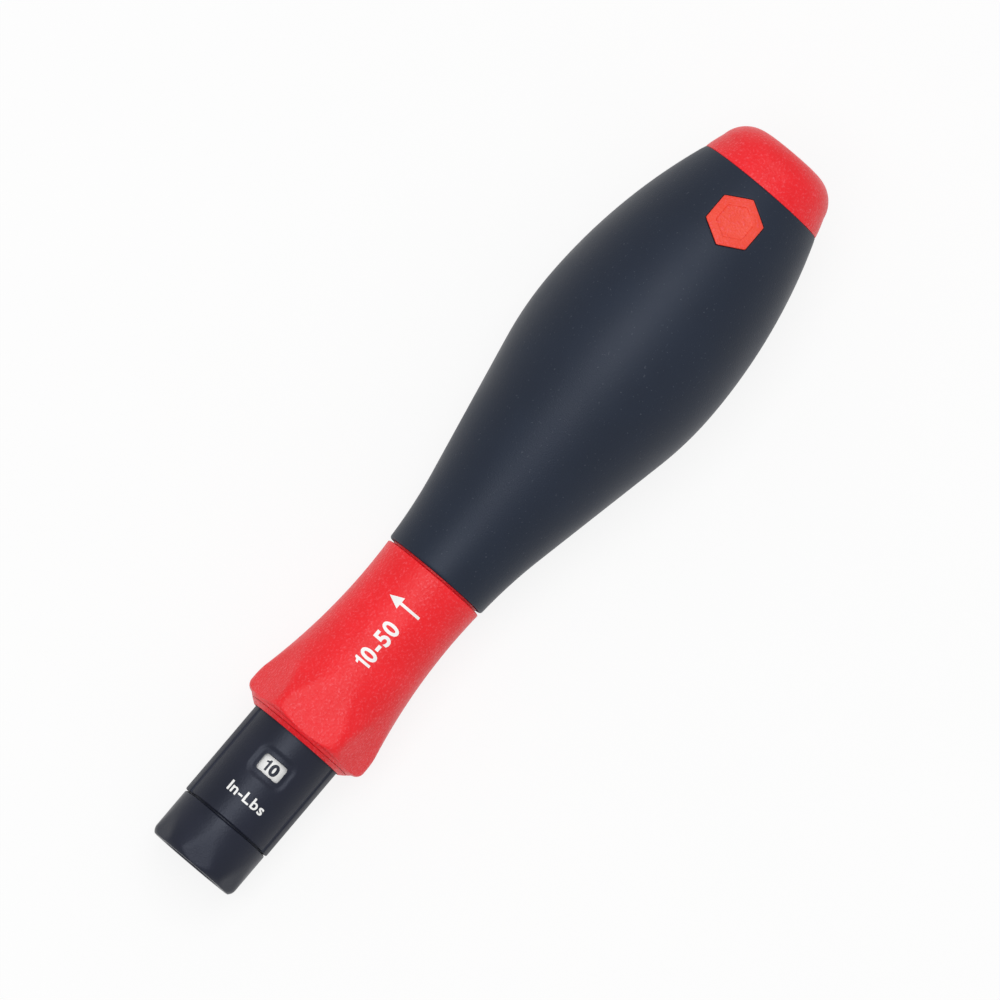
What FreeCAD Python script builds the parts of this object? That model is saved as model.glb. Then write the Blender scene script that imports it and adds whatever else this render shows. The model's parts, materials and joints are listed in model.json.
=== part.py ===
import FreeCAD, Part
import Sketcher
import math
import os
import re

# Adjustable torque screwdriver.
# Every piece is drawn along its own axis: X runs from the nose's front face (0) to
# the rear of the dome, and the scale window looks towards +Z. At the end the whole
# tool is laid down as it rests: on the belly of the grip and on one flat of the
# collar, with the nose slightly lower than the dome.

# Driving sizes, millimetres. Lengths run along the tool's axis unless they say
# otherwise. Angles are degrees.
SIZES = {
    # fits and clearances
    "fit_gap": 0.05,
    "running_gap": 0.1,
    "slide_gap": 0.1,
    "open_gap": 0.35,
    "press_gap": 0.02,
    "edge_chamfer": 0.2,
    # how far a join reaches into its neighbour, and a cut past the surface
    "join_overlap": 0.2,
    "cut_over": 1.0,
    # blade socket and spindle
    "blade_across_flats": 4.0,
    "blade_clearance": 0.03,
    "pilot_radius": 2.5,
    "pilot_depth": 3.0,
    "mouth_chamfer": 0.3,
    "socket_depth": 16.0,
    "spindle_recess": 1.0,
    "spindle_radius": 3.3,
    "journal_radius": 2.5,
    "snap_ring_place": 6.0,
    "snap_ring_wire": 0.45,
    "snap_ring_bite": 0.03,
    "snap_ring_slot": 1.2,
    # adjusting screw
    "screw_recess": 0.5,
    "screw_radius": 4.3,
    "screw_ring_radius": 4.4,
    "screw_flange_radius": 6.2,
    "screw_flange_length": 1.55,
    "screw_length": 24.0,
    "castle_notch_width": 1.3,
    "castle_notch_depth": 0.9,
    "brake_ring_wire": 1.0,
    "brake_ring_squeeze": 0.03,
    "brake_groove_width": 1.2,
    "thrust_washer_thickness": 0.5,
    # nose cap and barrel
    "barrel_radius": 7.22,
    "nose_cap_length": 7.3,
    "nose_wall": 1.8,
    "nose_opening_gap": 0.15,
    "nose_opening_chamfer": 0.4,
    "nose_front_radius": 6.7,
    "nose_round_length": 1.1,
    "nose_round_radius": 1.5,
    "nose_flat_apothem": 6.68,
    "nose_flat_tilt": 8.3,
    "seam_width": 0.4,
    "spigot_radius": 6.6,
    "spigot_bore": 5.02,
    "shoulder_inset": 0.25,
    "barrel_bore": 6.2,
    "barrel_length": 30.3,
    "tube_radius": 6.9,
    "tube_tail_length": 9.2,
    # window and its dimple
    "window_place": 17.4,
    "window_length": 2.63,
    "window_width": 3.9,
    "window_corner": 0.45,
    "dimple_length": 5.4,
    "dimple_width": 6.7,
    "dimple_corner": 1.7,
    "dimple_depth": 0.28,
    # scale
    "number_pitch": 2.1,
    "number_count": 5.0,
    "strip_thickness": 0.25,
    "strip_half_angle": 30.0,
    "strip_margin": 0.5,
    # scale carrier and setting nut
    "carrier_radius": 5.85,
    "carrier_length": 18.4,
    "rail_width": 6.1,
    "rail_radius": 7.4,
    "rail_overhang": 0.2,
    "rail_rear_inset": 1.0,
    "rail_gap": 0.22,
    "nut_radius": 5.2,
    "nut_insert_length": 15.0,
    "nut_flange_length": 1.5,
    "nut_lug_radius": 7.1,
    # spring and clutch
    "seat_thickness": 1.0,
    "seat_radius": 5.95,
    "spring_turns": 7.0,
    "spring_bore": 3.95,
    "spring_wire_width": 1.95,
    "spring_wire_height": 1.7,
    "clutch_radius": 6.1,
    "clutch_ring_length": 6.0,
    "clutch_key_width": 2.3,
    "clutch_key_length": 4.0,
    "clutch_key_radius": 6.8,
    "clutch_key_count": 3.0,
    "tooth_count": 12.0,
    "tooth_height": 0.6,
    "tooth_tip_width": 0.5,
    "tooth_root_width": 1.15,
    "tooth_inner_radius": 4.0,
    "tooth_outer_radius": 6.0,
    "tooth_side_gap": 0.07,
    "tooth_end_gap": 0.15,
    "disc_length": 4.0,
    "disc_pin_radius": 0.75,
    "rear_washer_thickness": 1.0,
    # clutch sleeve and rear bearing
    "sleeve_bore_length": 12.6,
    "sleeve_wall_length": 3.0,
    "sleeve_tail_flats": 10.4,
    "sleeve_tail_length": 6.4,
    "sleeve_tail_bore": 4.15,
    "keyway_extra_length": 1.2,
    "bush_wall": 0.8,
    "clip_thickness": 0.6,
    "clip_radius": 3.7,
    "clip_groove_depth": 0.5,
    "clip_mouth": 3.2,
    "journal_end_length": 1.4,
    # collar
    "collar_place": 23.6,
    "collar_front_radius": 8.7,
    "collar_face_length": 0.45,
    "collar_step_radius": 9.2,
    "collar_chamfer_length": 0.45,
    "collar_lip_radius": 10.3,
    "collar_shoulder_place": 4.4,
    "collar_shoulder_radius": 10.17,
    "collar_shoulder_round": 10.0,
    "collar_waist_radius": 8.05,
    "collar_waist_place": 23.7,
    "collar_sweep_radius": 88.0,
    "collar_length": 29.2,
    "collar_flat_apothem": 9.2,
    "front_ring_length": 0.7,
    "front_ring_front_radius": 7.75,
    "front_ring_rear_radius": 8.65,
    "front_ring_spigot_radius": 8.05,
    "front_ring_spigot_length": 2.0,
    # handle core and soft grip
    "grip_seam_width": 0.35,
    "grip_front_radius": 8.36,
    "grip_front_round": 0.3,
    "grip_neck_share": 0.3562,
    "grip_neck_sweep": 76.0,
    "grip_flank_angle": 11.5,
    "belly_share": 0.60113,
    "belly_radius": 15.12,
    "belly_front_sweep": 52.0,
    "soft_thickness": 2.1,
    "core_neck_radius": 7.5,
    "core_neck_inset": 4.65,
    "core_belly_half_length": 5.0,
    "grip_rear_radius": 10.08,
    "dome_length": 6.9,
    "dome_flank_length": 2.9,
    "dome_flank_radius": 9.23,
    "dome_corner_round": 4.8,
    "dome_face_radius": 4.7,
    "overall_length": 131.0,
    "core_bore_length": 32.0,
    "core_bore_end_radius": 4.0,
    "badge_inset": 6.4,
    "badge_flats": 7.2,
    "badge_proud": 0.2,
    "badge_foot_depth": 5.0,
    "badge_dish_flats": 4.7,
    "badge_dish_depth": 0.25,
    "housing_pin_radius": 1.0,
    "housing_pin_depth": 0.1,
}

# Stations along the axis and radii that follow from the sizes, in this order.
STATIONS = {
    "housing_front": "nose_cap_length + seam_width",
    "bore_front": "housing_front - shoulder_inset",
    "barrel_end": "housing_front + barrel_length",
    "collar_rear": "collar_place + collar_length",
    "tube_end": "collar_rear + tube_tail_length",
    "flange_front": "nose_wall + running_gap + thrust_washer_thickness",
    "flange_rear": "flange_front + screw_flange_length",
    "spigot_front": "flange_rear + slide_gap",
    "screw_bore": "spindle_radius + running_gap",
    "nut_bore": "screw_radius + running_gap",
    "nose_opening": "screw_ring_radius + nose_opening_gap",
    "cap_bore": "spigot_radius + fit_gap",
    "brake_groove_mid": "(flange_rear + bore_front) / 2",
    "brake_groove_front": "brake_groove_mid - brake_groove_width / 2",
    "brake_groove_rear": "brake_groove_mid + brake_groove_width / 2",
    "brake_ring_center": "spigot_bore - brake_ring_squeeze - brake_ring_wire / 2",
    "brake_groove_floor": "brake_ring_center - brake_ring_wire / 2",
    "travel": "number_pitch * (number_count - 1)",
    "snap_ring_mid": "spindle_recess + snap_ring_place",
    "snap_ring_outer": "blade_across_flats / 2 / cos(30) - snap_ring_bite + snap_ring_wire",
    "carrier_front": "bore_front + slide_gap + fit_gap",
    "carrier_rear": "carrier_front + carrier_length",
    "rail_front": "carrier_front - rail_overhang",
    "rail_rear": "carrier_rear - rail_rear_inset",
    "nut_rear": "carrier_rear + nut_flange_length",
    "slot_width": "rail_width + 2 * slide_gap",
    "slot_end": "nut_rear + travel + running_gap + open_gap",
    "strip_inner": "carrier_radius + press_gap",
    "strip_outer": "carrier_radius + strip_thickness",
    "strip_front": "window_place - window_length / 2 - travel - slide_gap / 2",
    "strip_rear": "window_place + window_length / 2 + strip_margin",
    "spring_front": "nut_rear + seat_thickness",
    "wall_front": "tube_end + sleeve_bore_length",
    "wall_rear": "wall_front + sleeve_wall_length",
    "disc_rear": "wall_front - rear_washer_thickness",
    "disc_front": "disc_rear - disc_length",
    "ring_rear": "disc_front - running_gap",
    "ring_front": "ring_rear - clutch_ring_length",
    "spring_rear": "ring_front - seat_thickness",
    "spring_length": "spring_rear - spring_front",
    "tail_end": "wall_rear + sleeve_tail_length",
    "disc_pin_place": "(disc_front + tooth_height + disc_rear) / 2",
    "keyway_end": "ring_rear + keyway_extra_length",
    "keyway_width": "clutch_key_width + 2 * slide_gap",
    "bush_bore": "journal_radius + running_gap / 2",
    "bush_radius": "journal_radius + bush_wall",
    "clip_front": "wall_rear + running_gap",
    "clip_bore": "journal_radius - clip_groove_depth",
    "spindle_end": "clip_front + clip_thickness + journal_end_length",
    "collar_rear_radius": "collar_waist_radius + collar_sweep_radius"
    " - sqrt(collar_sweep_radius ^ 2 - (collar_length - collar_waist_place) ^ 2)",
    "collar_front_bore": "rail_radius + rail_gap",
    "collar_rear_bore": "tube_radius + fit_gap",
    "ring_seat": "collar_place + front_ring_spigot_length",
    "grip_front": "collar_rear + grip_seam_width",
    "grip_rear_place": "overall_length - dome_length",
    "belly_place": "grip_front + belly_share * (grip_rear_place - grip_front)",
    "belly_drop": "belly_radius - grip_rear_radius",
    "belly_rear_sweep": "((grip_rear_place - belly_place) ^ 2 + belly_drop ^ 2) / (2 * belly_drop)",
    "flank_end": "belly_place - belly_front_sweep * sin(grip_flank_angle)",
    "neck_end": "grip_front + grip_neck_share * (flank_end - grip_front)",
    "flank_end_radius": "belly_radius - belly_front_sweep * (1 - cos(grip_flank_angle))",
    "neck_end_radius": "flank_end_radius - (flank_end - neck_end) * tan(grip_flank_angle)",
    "core_belly_radius": "belly_radius - soft_thickness",
    "core_belly_front": "belly_place - core_belly_half_length",
    "core_belly_rear": "belly_place + core_belly_half_length",
    "core_neck_end": "neck_end - core_neck_inset",
    "housing_pin_place": "(collar_rear + tube_end) / 2",
    "core_rear_radius": "grip_rear_radius - soft_thickness",
    "dome_flank_end": "grip_rear_place + dome_flank_length",
    "core_bore_end": "tail_end + core_bore_length",
    "badge_place": "grip_rear_place - badge_inset",
    "badge_surface": "belly_radius - belly_rear_sweep"
    " + sqrt(belly_rear_sweep ^ 2 - (badge_place - belly_place) ^ 2)",
}

doc = FreeCAD.newDocument("torque_screwdriver")
nodes = []


# ---------------------------------------------------------------- sheets


def fill_sheet(sheet, rows):
    """Writes alias and content pairs down a sheet, and gives each cell its alias."""
    for row, (alias, content) in enumerate(rows, 1):
        sheet.set(f"A{row}", alias)
        sheet.set(f"B{row}", content)
        sheet.setAlias(f"B{row}", alias)


def linked(text):
    """A formula written in aliases, with each alias pointing at its sheet."""

    def full_name(match):
        word = match.group()
        if word in SIZES:
            return f"Sizes.{word}"
        if word in STATIONS:
            return f"Stations.{word}"
        return word

    return re.sub(r"[a-z][a-z_]+", full_name, text)


sizes = doc.addObject("Spreadsheet::Sheet", "Sizes")
fill_sheet(sizes, [(alias, str(size)) for alias, size in SIZES.items()])
stations = doc.addObject("Spreadsheet::Sheet", "Stations")
calculator = doc.addObject("Spreadsheet::Sheet", "Calculator")
doc.recompute()
fill_sheet(stations, [(alias, "=" + linked(text)) for alias, text in STATIONS.items()])
doc.recompute()


def value(text):
    """What a formula in aliases comes to, as a plain number."""
    calculator.set("A1", "=" + linked(text))
    calculator.recompute()
    return float(calculator.get("A1"))


def bind(item, path, text):
    item.setExpression(path, linked(text))


# ---------------------------------------------------------------- sketches and bodies


def origin_plane(body, role):
    return next(f for f in body.Origin.OriginFeatures if f.Role == role)


def new_body(label):
    body = doc.addObject("PartDesign::Body", label + "_body")
    body.Label = label + "_body"
    return body


def new_sketch(body, name, role, offset=None):
    """A sketch on one of the body's own origin planes, lifted off it by a formula."""
    sketch = body.newObject("Sketcher::SketchObject", name)
    sketch.AttachmentSupport = (origin_plane(body, role), [""])
    sketch.MapMode = "FlatFace"
    if offset:
        bind(sketch, "AttachmentOffset.Base.z", offset)
    return sketch


def arc_between(start, end, radius, bulge):
    """The arc from start to end whose middle lies to the left (+1) or right (-1)."""
    middle = (start + end) * 0.5
    along = end - start
    half = along.Length / 2
    side = FreeCAD.Vector(-along.y, along.x, 0).normalize() * bulge
    rise = radius - math.sqrt(max(radius**2 - half**2, 0))
    return Part.Arc(start, middle + side * rise, end)


def draw_outline(sketch, outline):
    """Closes an outline of (x, y) formulas, and binds every corner to the sheets.

    An entry of three is a corner that an arc leaves: (x, y, (radius, bulge)).
    """
    points = [FreeCAD.Vector(value(c[0]), value(c[1]), 0) for c in outline]
    for i, corner in enumerate(outline):
        start = points[i]
        end = points[(i + 1) % len(points)]
        if len(corner) == 3:
            radius, bulge = corner[2]
            sketch.addGeometry(arc_between(start, end, value(radius), bulge), False)
        else:
            sketch.addGeometry(Part.LineSegment(start, end), False)
    ends = [arc_ends(sketch, i, start) for i, start in enumerate(points)]
    for i in range(len(outline)):
        after = (i + 1) % len(outline)
        joint = Sketcher.Constraint("Coincident", i, ends[i][1], after, ends[after][0])
        sketch.addConstraint(joint)
    for i, corner in enumerate(outline):
        pin_corner(sketch, f"x{i}", "DistanceX", i, ends[i][0], corner[0])
        pin_corner(sketch, f"y{i}", "DistanceY", i, ends[i][0], corner[1])
        if len(corner) == 3:
            size = sketch.addConstraint(
                Sketcher.Constraint("Radius", i, value(corner[2][0]))
            )
            sketch.renameConstraint(size, f"radius{i}")
            bind(sketch, f"Constraints.radius{i}", corner[2][0])


def arc_ends(sketch, index, start):
    """Which end of an edge is its first corner: an arc stores its ends anticlockwise."""
    first = sketch.getPoint(index, 1)
    return (1, 2) if (first - start).Length < 1e-6 else (2, 1)


def pin_corner(sketch, name, kind, index, end, text):
    pin = sketch.addConstraint(
        Sketcher.Constraint(kind, -1, 1, index, end, value(text))
    )
    sketch.renameConstraint(pin, name)
    bind(sketch, f"Constraints.{name}", text)


def underneath(outline):
    """The same outline drawn below the axis, so that a turned solid's seam is there."""
    flipped = []
    for corner in outline:
        below = (corner[0], f"-({corner[1]})")
        if len(corner) == 3:
            radius, bulge = corner[2]
            below += ((radius, -bulge),)
        flipped.append(below)
    return flipped


def turned_body(label, outline):
    """A solid of revolution about X. The outline is in (x, radius)."""
    body = new_body(label)
    sketch = new_sketch(body, label + "_profile", "XZ_Plane")
    draw_outline(sketch, underneath(outline))
    turn = body.newObject("PartDesign::Revolution", label + "_turn")
    turn.Profile = sketch
    turn.ReferenceAxis = (sketch, ["H_Axis"])
    turn.Angle = 360
    doc.recompute()
    return body


def ring_outline(front, rear, inner, outer):
    return [(front, inner), (front, outer), (rear, outer), (rear, inner)]


def wire_outline(place, center, wire):
    """Round wire bent into a ring, drawn as an eight-sided section."""
    near = f"{wire} / 2 * tan(22.5)"
    far = f"{wire} / 2"
    turns = [(near, far), (far, near), (far, f"-{near}"), (near, f"-{far}")]
    front = [(f"-{x}", r) for x, r in turns[::-1]]
    return [
        (f"{place} + {x}".replace("+ -", "- "), f"{center} + {r}".replace("+ -", "- "))
        for x, r in front + turns
    ]


def cut_across(body, name, role, outline, offset=None, length=None, reverse=False):
    """A pocket of a sketched outline: right through both ways, or to a length."""
    volume = body.Shape.Volume
    sketch = new_sketch(body, name + "_sketch", role, offset)
    draw_outline(sketch, outline)
    pocket = body.newObject("PartDesign::Pocket", name)
    pocket.Profile = sketch
    if length:
        pocket.Type = "Length"
        bind(pocket, "Length", length)
        pocket.Reversed = reverse
    else:
        pocket.Type = "ThroughAll"
        pocket.Midplane = True
    doc.recompute()
    if body.Shape.Volume > volume - 1e-3:
        raise RuntimeError(name + " cuts nothing")
    return pocket


def around_axis(body, name, feature, count):
    """Repeats a feature evenly around the tool's axis."""
    pattern = body.newObject("PartDesign::PolarPattern", name)
    pattern.Originals = [feature]
    pattern.Axis = (origin_axis(body), [""])
    pattern.Angle = 360
    bind(pattern, "Occurrences", count)
    body.Tip = pattern
    doc.recompute()
    return pattern


def origin_axis(body):
    return next(f for f in body.Origin.OriginFeatures if f.Role == "X_Axis")


# ---------------------------------------------------------------- plain cutters


def cutter(kind, name, **bound):
    """A Part primitive whose named properties are bound to formulas."""
    item = doc.addObject(kind, name)
    for key, text in bound.items():
        bind(item, key, text)
    return item


def along_x(item, start, spin=0.0):
    """Lays a primitive's own Z axis along the tool's X, starting at a station."""
    lay = FreeCAD.Rotation(FreeCAD.Vector(0, 1, 0), 90)
    turn = FreeCAD.Rotation(FreeCAD.Vector(0, 0, 1), spin)
    item.Placement = FreeCAD.Placement(FreeCAD.Vector(0, 0, 0), lay * turn)
    bind(item, "Placement.Base.x", start)
    return item


def rod(name, start, length, radius):
    return along_x(cutter("Part::Cylinder", name, Radius=radius, Height=length), start)


def hex_bar(name, start, length, flats):
    """A hexagonal bar along X with two of its flats facing up and down."""
    bar = cutter("Part::Prism", name, Circumradius=f"({flats}) / 2 / cos(30)", Height=length)
    bar.Polygon = 6
    return along_x(bar, start, spin=30)


def cross_rod(name, place, radius):
    """A round bar across the tool, well past the barrel on both sides."""
    bar = cutter("Part::Cylinder", name, Radius=radius, Height="4 * barrel_radius")
    bar.Placement.Rotation = FreeCAD.Rotation(FreeCAD.Vector(1, 0, 0), -90)
    bind(bar, "Placement.Base.x", place)
    bind(bar, "Placement.Base.y", "-2 * barrel_radius")
    return bar


def box_at(name, x, y, z, length, width, height):
    """A box from its lowest corner, each number a formula."""
    box = cutter("Part::Box", name, Length=length, Width=width, Height=height)
    bind(box, "Placement.Base.x", x)
    bind(box, "Placement.Base.y", y)
    bind(box, "Placement.Base.z", z)
    return box


def less(name, base, *tools):
    """base with the tools cut out of it."""
    tool = tools[0] if len(tools) == 1 else united(name + "_tools", *tools)
    cut = doc.addObject("Part::Cut", name)
    cut.Base = base
    cut.Tool = tool
    return cut


def united(name, *items):
    fused = doc.addObject("Part::MultiFuse", name)
    fused.Shapes = list(items)
    return fused


def shared(name, *items):
    """What all the items have in common."""
    common = doc.addObject("Part::MultiCommon", name)
    common.Shapes = list(items)
    return common


def keep(node, item):
    """Makes an object the sub-part of this name."""
    item.Label = node
    nodes.append(item)


# ---------------------------------------------------------------- nose and barrel


def nose_cap():
    shell = turned_body(
        "nose_shell",
        [
            ("0", "nose_opening + nose_opening_chamfer"),
            ("0", "nose_front_radius", ("nose_round_radius", 1)),
            ("nose_round_length", "barrel_radius"),
            ("nose_cap_length - edge_chamfer", "barrel_radius"),
            ("nose_cap_length", "barrel_radius - edge_chamfer"),
            ("nose_cap_length", "cap_bore"),
            ("nose_wall", "cap_bore"),
            ("nose_wall", "nose_opening"),
            ("nose_opening_chamfer", "nose_opening"),
        ],
    )
    flare = "nose_cap_length * tan(nose_flat_tilt)"
    ends = []
    for name, place, apothem in (
        ("nose_hexagon_front", "0", "nose_flat_apothem"),
        ("nose_hexagon_rear", "nose_cap_length", f"nose_flat_apothem + {flare}"),
    ):
        hexagon = cutter(
            "Part::RegularPolygon", name, Circumradius=f"({apothem}) / cos(30)"
        )
        hexagon.Polygon = 6
        ends.append(along_x(hexagon, place, spin=30))
    pyramid = doc.addObject("Part::Loft", "nose_pyramid")
    pyramid.Sections = ends
    pyramid.Solid = True
    keep("nose_cap", shared("nose_cap_solid", shell, pyramid))


def rounded_plate(label, length, width, corner, bottom, height):
    """An upright plate with round corners, centred under the window's place."""
    body = new_body(label)
    sketch = new_sketch(body, label + "_outline", "XY_Plane", bottom)
    front = f"window_place - {length} / 2"
    rear = f"window_place + {length} / 2"
    side = f"{width} / 2"
    arc = (corner, 1)
    draw_outline(
        sketch,
        [
            (f"{front}", f"-{side} + {corner}"),
            (f"{front}", f"{side} - {corner}", arc),
            (f"{front} + {corner}", side),
            (f"{rear} - {corner}", side, arc),
            (rear, f"{side} - {corner}"),
            (rear, f"-{side} + {corner}", arc),
            (f"{rear} - {corner}", f"-{side}"),
            (f"{front} + {corner}", f"-{side}", arc),
        ],
    )
    pad = body.newObject("PartDesign::Pad", label + "_pad")
    pad.Profile = sketch
    bind(pad, "Length", height)
    doc.recompute()
    return body


def scale_housing():
    barrel = turned_body(
        "barrel",
        [
            ("spigot_front", "spigot_bore"),
            ("spigot_front", "spigot_radius"),
            ("housing_front", "spigot_radius"),
            ("housing_front", "barrel_radius - edge_chamfer"),
            ("housing_front + edge_chamfer", "barrel_radius"),
            ("barrel_end", "barrel_radius"),
            ("barrel_end", "tube_radius"),
            ("tube_end", "tube_radius"),
            ("tube_end", "barrel_bore"),
            ("bore_front", "barrel_bore"),
            ("bore_front", "spigot_bore"),
        ],
    )
    cut_across(
        barrel,
        "side_slots",
        "XZ_Plane",
        [
            ("housing_front", "-slot_width / 2"),
            ("housing_front", "slot_width / 2"),
            ("slot_end", "slot_width / 2"),
            ("slot_end", "-slot_width / 2"),
        ],
    )
    window = rounded_plate(
        "window", "window_length", "window_width", "window_corner", "0", "barrel_radius * 2"
    )
    dimple_plate = rounded_plate(
        "dimple_plate",
        "dimple_length",
        "dimple_width",
        "dimple_corner",
        "0",
        "barrel_radius * 2",
    )
    dimple_skin = turned_body(
        "dimple_skin",
        ring_outline(
            "window_place - dimple_length",
            "window_place + dimple_length",
            "barrel_radius - dimple_depth",
            "barrel_radius + cut_over",
        ),
    )
    dimple = shared("dimple", dimple_plate, dimple_skin)
    pin_hole = cross_rod("housing_hole", "housing_pin_place", "housing_pin_radius + fit_gap")
    keep("scale_housing", less("scale_housing_solid", barrel, window, dimple, pin_hole))


# ---------------------------------------------------------------- setting screw


def adjusting_screw():
    screw = turned_body(
        "screw",
        [
            ("screw_recess", "screw_bore"),
            ("screw_recess", "screw_ring_radius - edge_chamfer"),
            ("screw_recess + edge_chamfer", "screw_ring_radius"),
            ("flange_front", "screw_ring_radius"),
            ("flange_front", "screw_flange_radius"),
            ("flange_rear", "screw_flange_radius"),
            ("flange_rear", "screw_radius"),
            ("brake_groove_front", "screw_radius"),
            ("brake_groove_front", "brake_groove_floor"),
            ("brake_groove_rear", "brake_groove_floor"),
            ("brake_groove_rear", "screw_radius"),
            ("screw_length - edge_chamfer", "screw_radius"),
            ("screw_length", "screw_radius - edge_chamfer"),
            ("screw_length", "screw_bore"),
        ],
    )
    notch = [
        ("screw_recess - cut_over", "-castle_notch_width / 2"),
        ("screw_recess - cut_over", "castle_notch_width / 2"),
        ("screw_recess + castle_notch_depth", "castle_notch_width / 2"),
        ("screw_recess + castle_notch_depth", "-castle_notch_width / 2"),
    ]
    cut_across(screw, "castle_notch_upright", "XZ_Plane", notch)
    cut_across(screw, "castle_notch_level", "XY_Plane", notch)
    keep("adjusting_screw", screw)


def brake_ring():
    section = wire_outline("brake_groove_mid", "brake_ring_center", "brake_ring_wire")
    keep("brake_ring", turned_body("brake_loop", section))


def thrust_washer():
    washer = turned_body(
        "front_washer",
        ring_outline(
            "nose_wall",
            "nose_wall + thrust_washer_thickness",
            "nose_opening",
            "screw_flange_radius",
        ),
    )
    keep("thrust_washer", washer)


def setting_nut():
    nut = turned_body(
        "nut",
        [
            ("carrier_rear - nut_insert_length", "nut_bore"),
            ("carrier_rear - nut_insert_length", "nut_radius"),
            ("carrier_rear", "nut_radius"),
            ("carrier_rear", "carrier_radius"),
            ("nut_rear", "carrier_radius"),
            ("nut_rear", "nut_bore"),
        ],
    )
    lug_disc = turned_body(
        "nut_lug_disc",
        ring_outline("carrier_rear", "nut_rear", "nut_radius", "nut_lug_radius"),
    )
    lug_bar = box_at(
        "nut_lug_bar",
        "carrier_rear",
        "-barrel_radius",
        "-rail_width / 2",
        "nut_flange_length",
        "2 * barrel_radius",
        "rail_width",
    )
    lugs = shared("nut_lugs", lug_disc, lug_bar)
    keep("setting_nut", united("setting_nut_solid", nut, lugs))


# ---------------------------------------------------------------- scale


def scale_carrier():
    tube = turned_body(
        "carrier_tube",
        ring_outline(
            "carrier_front", "carrier_rear", "nut_radius + fit_gap", "carrier_radius"
        ),
    )
    rail_band = turned_body(
        "rail_band",
        [
            ("rail_front", "cap_bore + slide_gap"),
            ("rail_front", "rail_radius"),
            ("rail_rear", "rail_radius"),
            ("rail_rear", "carrier_radius - join_overlap"),
            ("housing_front + slide_gap", "carrier_radius - join_overlap"),
            ("housing_front + slide_gap", "cap_bore + slide_gap"),
        ],
    )
    rail_bar = box_at(
        "rail_bar",
        "0",
        "-2 * barrel_radius",
        "-rail_width / 2",
        "carrier_rear",
        "4 * barrel_radius",
        "rail_width",
    )
    rails = shared("rails", rail_band, rail_bar)
    keep("scale_carrier", united("scale_carrier_solid", tube, rails))


def number_strip():
    body = new_body("strip")
    sketch = new_sketch(body, "strip_profile", "XZ_Plane")
    draw_outline(
        sketch, ring_outline("strip_front", "strip_rear", "strip_inner", "strip_outer")
    )
    bend = body.newObject("PartDesign::Revolution", "strip_bend")
    bend.Profile = sketch
    bend.ReferenceAxis = (sketch, ["H_Axis"])
    bend.Midplane = True
    bind(bend, "Angle", "2 * strip_half_angle")
    doc.recompute()
    keep("number_strip", body)


# ---------------------------------------------------------------- spring and clutch


def spring_seats():
    for node, front in (("spring_front_seat", "nut_rear"), ("spring_rear_seat", "spring_rear")):
        seat = turned_body(
            node + "_washer",
            ring_outline(
                front, f"{front} + seat_thickness", "spindle_radius + open_gap", "seat_radius"
            ),
        )
        keep(node, seat)


def torque_spring():
    """Rectangular wire wound with square ends, both ground flat."""
    body = new_body("coil")
    sketch = new_sketch(body, "coil_section", "XZ_Plane")
    pitch = "spring_length / spring_turns"
    draw_outline(
        sketch,
        ring_outline(
            f"spring_front - {pitch} / 2 - spring_wire_height / 2",
            f"spring_front - {pitch} / 2 + spring_wire_height / 2",
            "spring_bore",
            "spring_bore + spring_wire_width",
        ),
    )
    helix = body.newObject("PartDesign::AdditiveHelix", "coil_helix")
    helix.Profile = sketch
    helix.ReferenceAxis = (sketch, ["H_Axis"])
    helix.Mode = 0
    bind(helix, "Pitch", pitch)
    bind(helix, "Height", f"spring_length + {pitch}")
    doc.recompute()
    ground = rod("coil_ground", "spring_front", "spring_length", "barrel_bore")
    keep("torque_spring", shared("torque_spring_solid", body, ground))


def tooth_outline(face, height, gap):
    """A trapezoid tooth standing rearwards on a face, sketched seen from outside."""
    half_root = f"tooth_root_width / 2 + {gap}"
    half_tip = f"tooth_tip_width / 2 + {gap}"
    root = f"{face} - join_overlap"
    tip = f"{face} + {height}"
    return [
        (root, f"-({half_root})"),
        (face, f"-({half_root})"),
        (tip, f"-({half_tip})"),
        (tip, half_tip),
        (face, half_root),
        (root, half_root),
    ]


def clutch_ring():
    body = turned_body(
        "ring",
        ring_outline(
            "ring_front", "ring_rear", "spindle_radius + slide_gap + fit_gap", "clutch_radius"
        ),
    )
    sketch = new_sketch(body, "ring_tooth_sketch", "XY_Plane", "tooth_inner_radius")
    draw_outline(sketch, tooth_outline("ring_rear", "tooth_height", "0"))
    tooth = body.newObject("PartDesign::Pad", "ring_tooth")
    tooth.Profile = sketch
    bind(tooth, "Length", "tooth_outer_radius - tooth_inner_radius")
    doc.recompute()
    around_axis(body, "ring_teeth", tooth, "tooth_count")
    key_foot = "clutch_radius - join_overlap"
    key_sketch = new_sketch(body, "ring_key_sketch", "XY_Plane", key_foot)
    key_front = "ring_front + (clutch_ring_length - clutch_key_length) / 2"
    draw_outline(
        key_sketch,
        [
            (key_front, "-clutch_key_width / 2"),
            (key_front, "clutch_key_width / 2"),
            (f"{key_front} + clutch_key_length", "clutch_key_width / 2"),
            (f"{key_front} + clutch_key_length", "-clutch_key_width / 2"),
        ],
    )
    key = body.newObject("PartDesign::Pad", "ring_key")
    key.Profile = key_sketch
    bind(key, "Length", f"clutch_key_radius - ({key_foot})")
    doc.recompute()
    around_axis(body, "ring_keys", key, "clutch_key_count")
    keep("clutch_ring", body)


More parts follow.
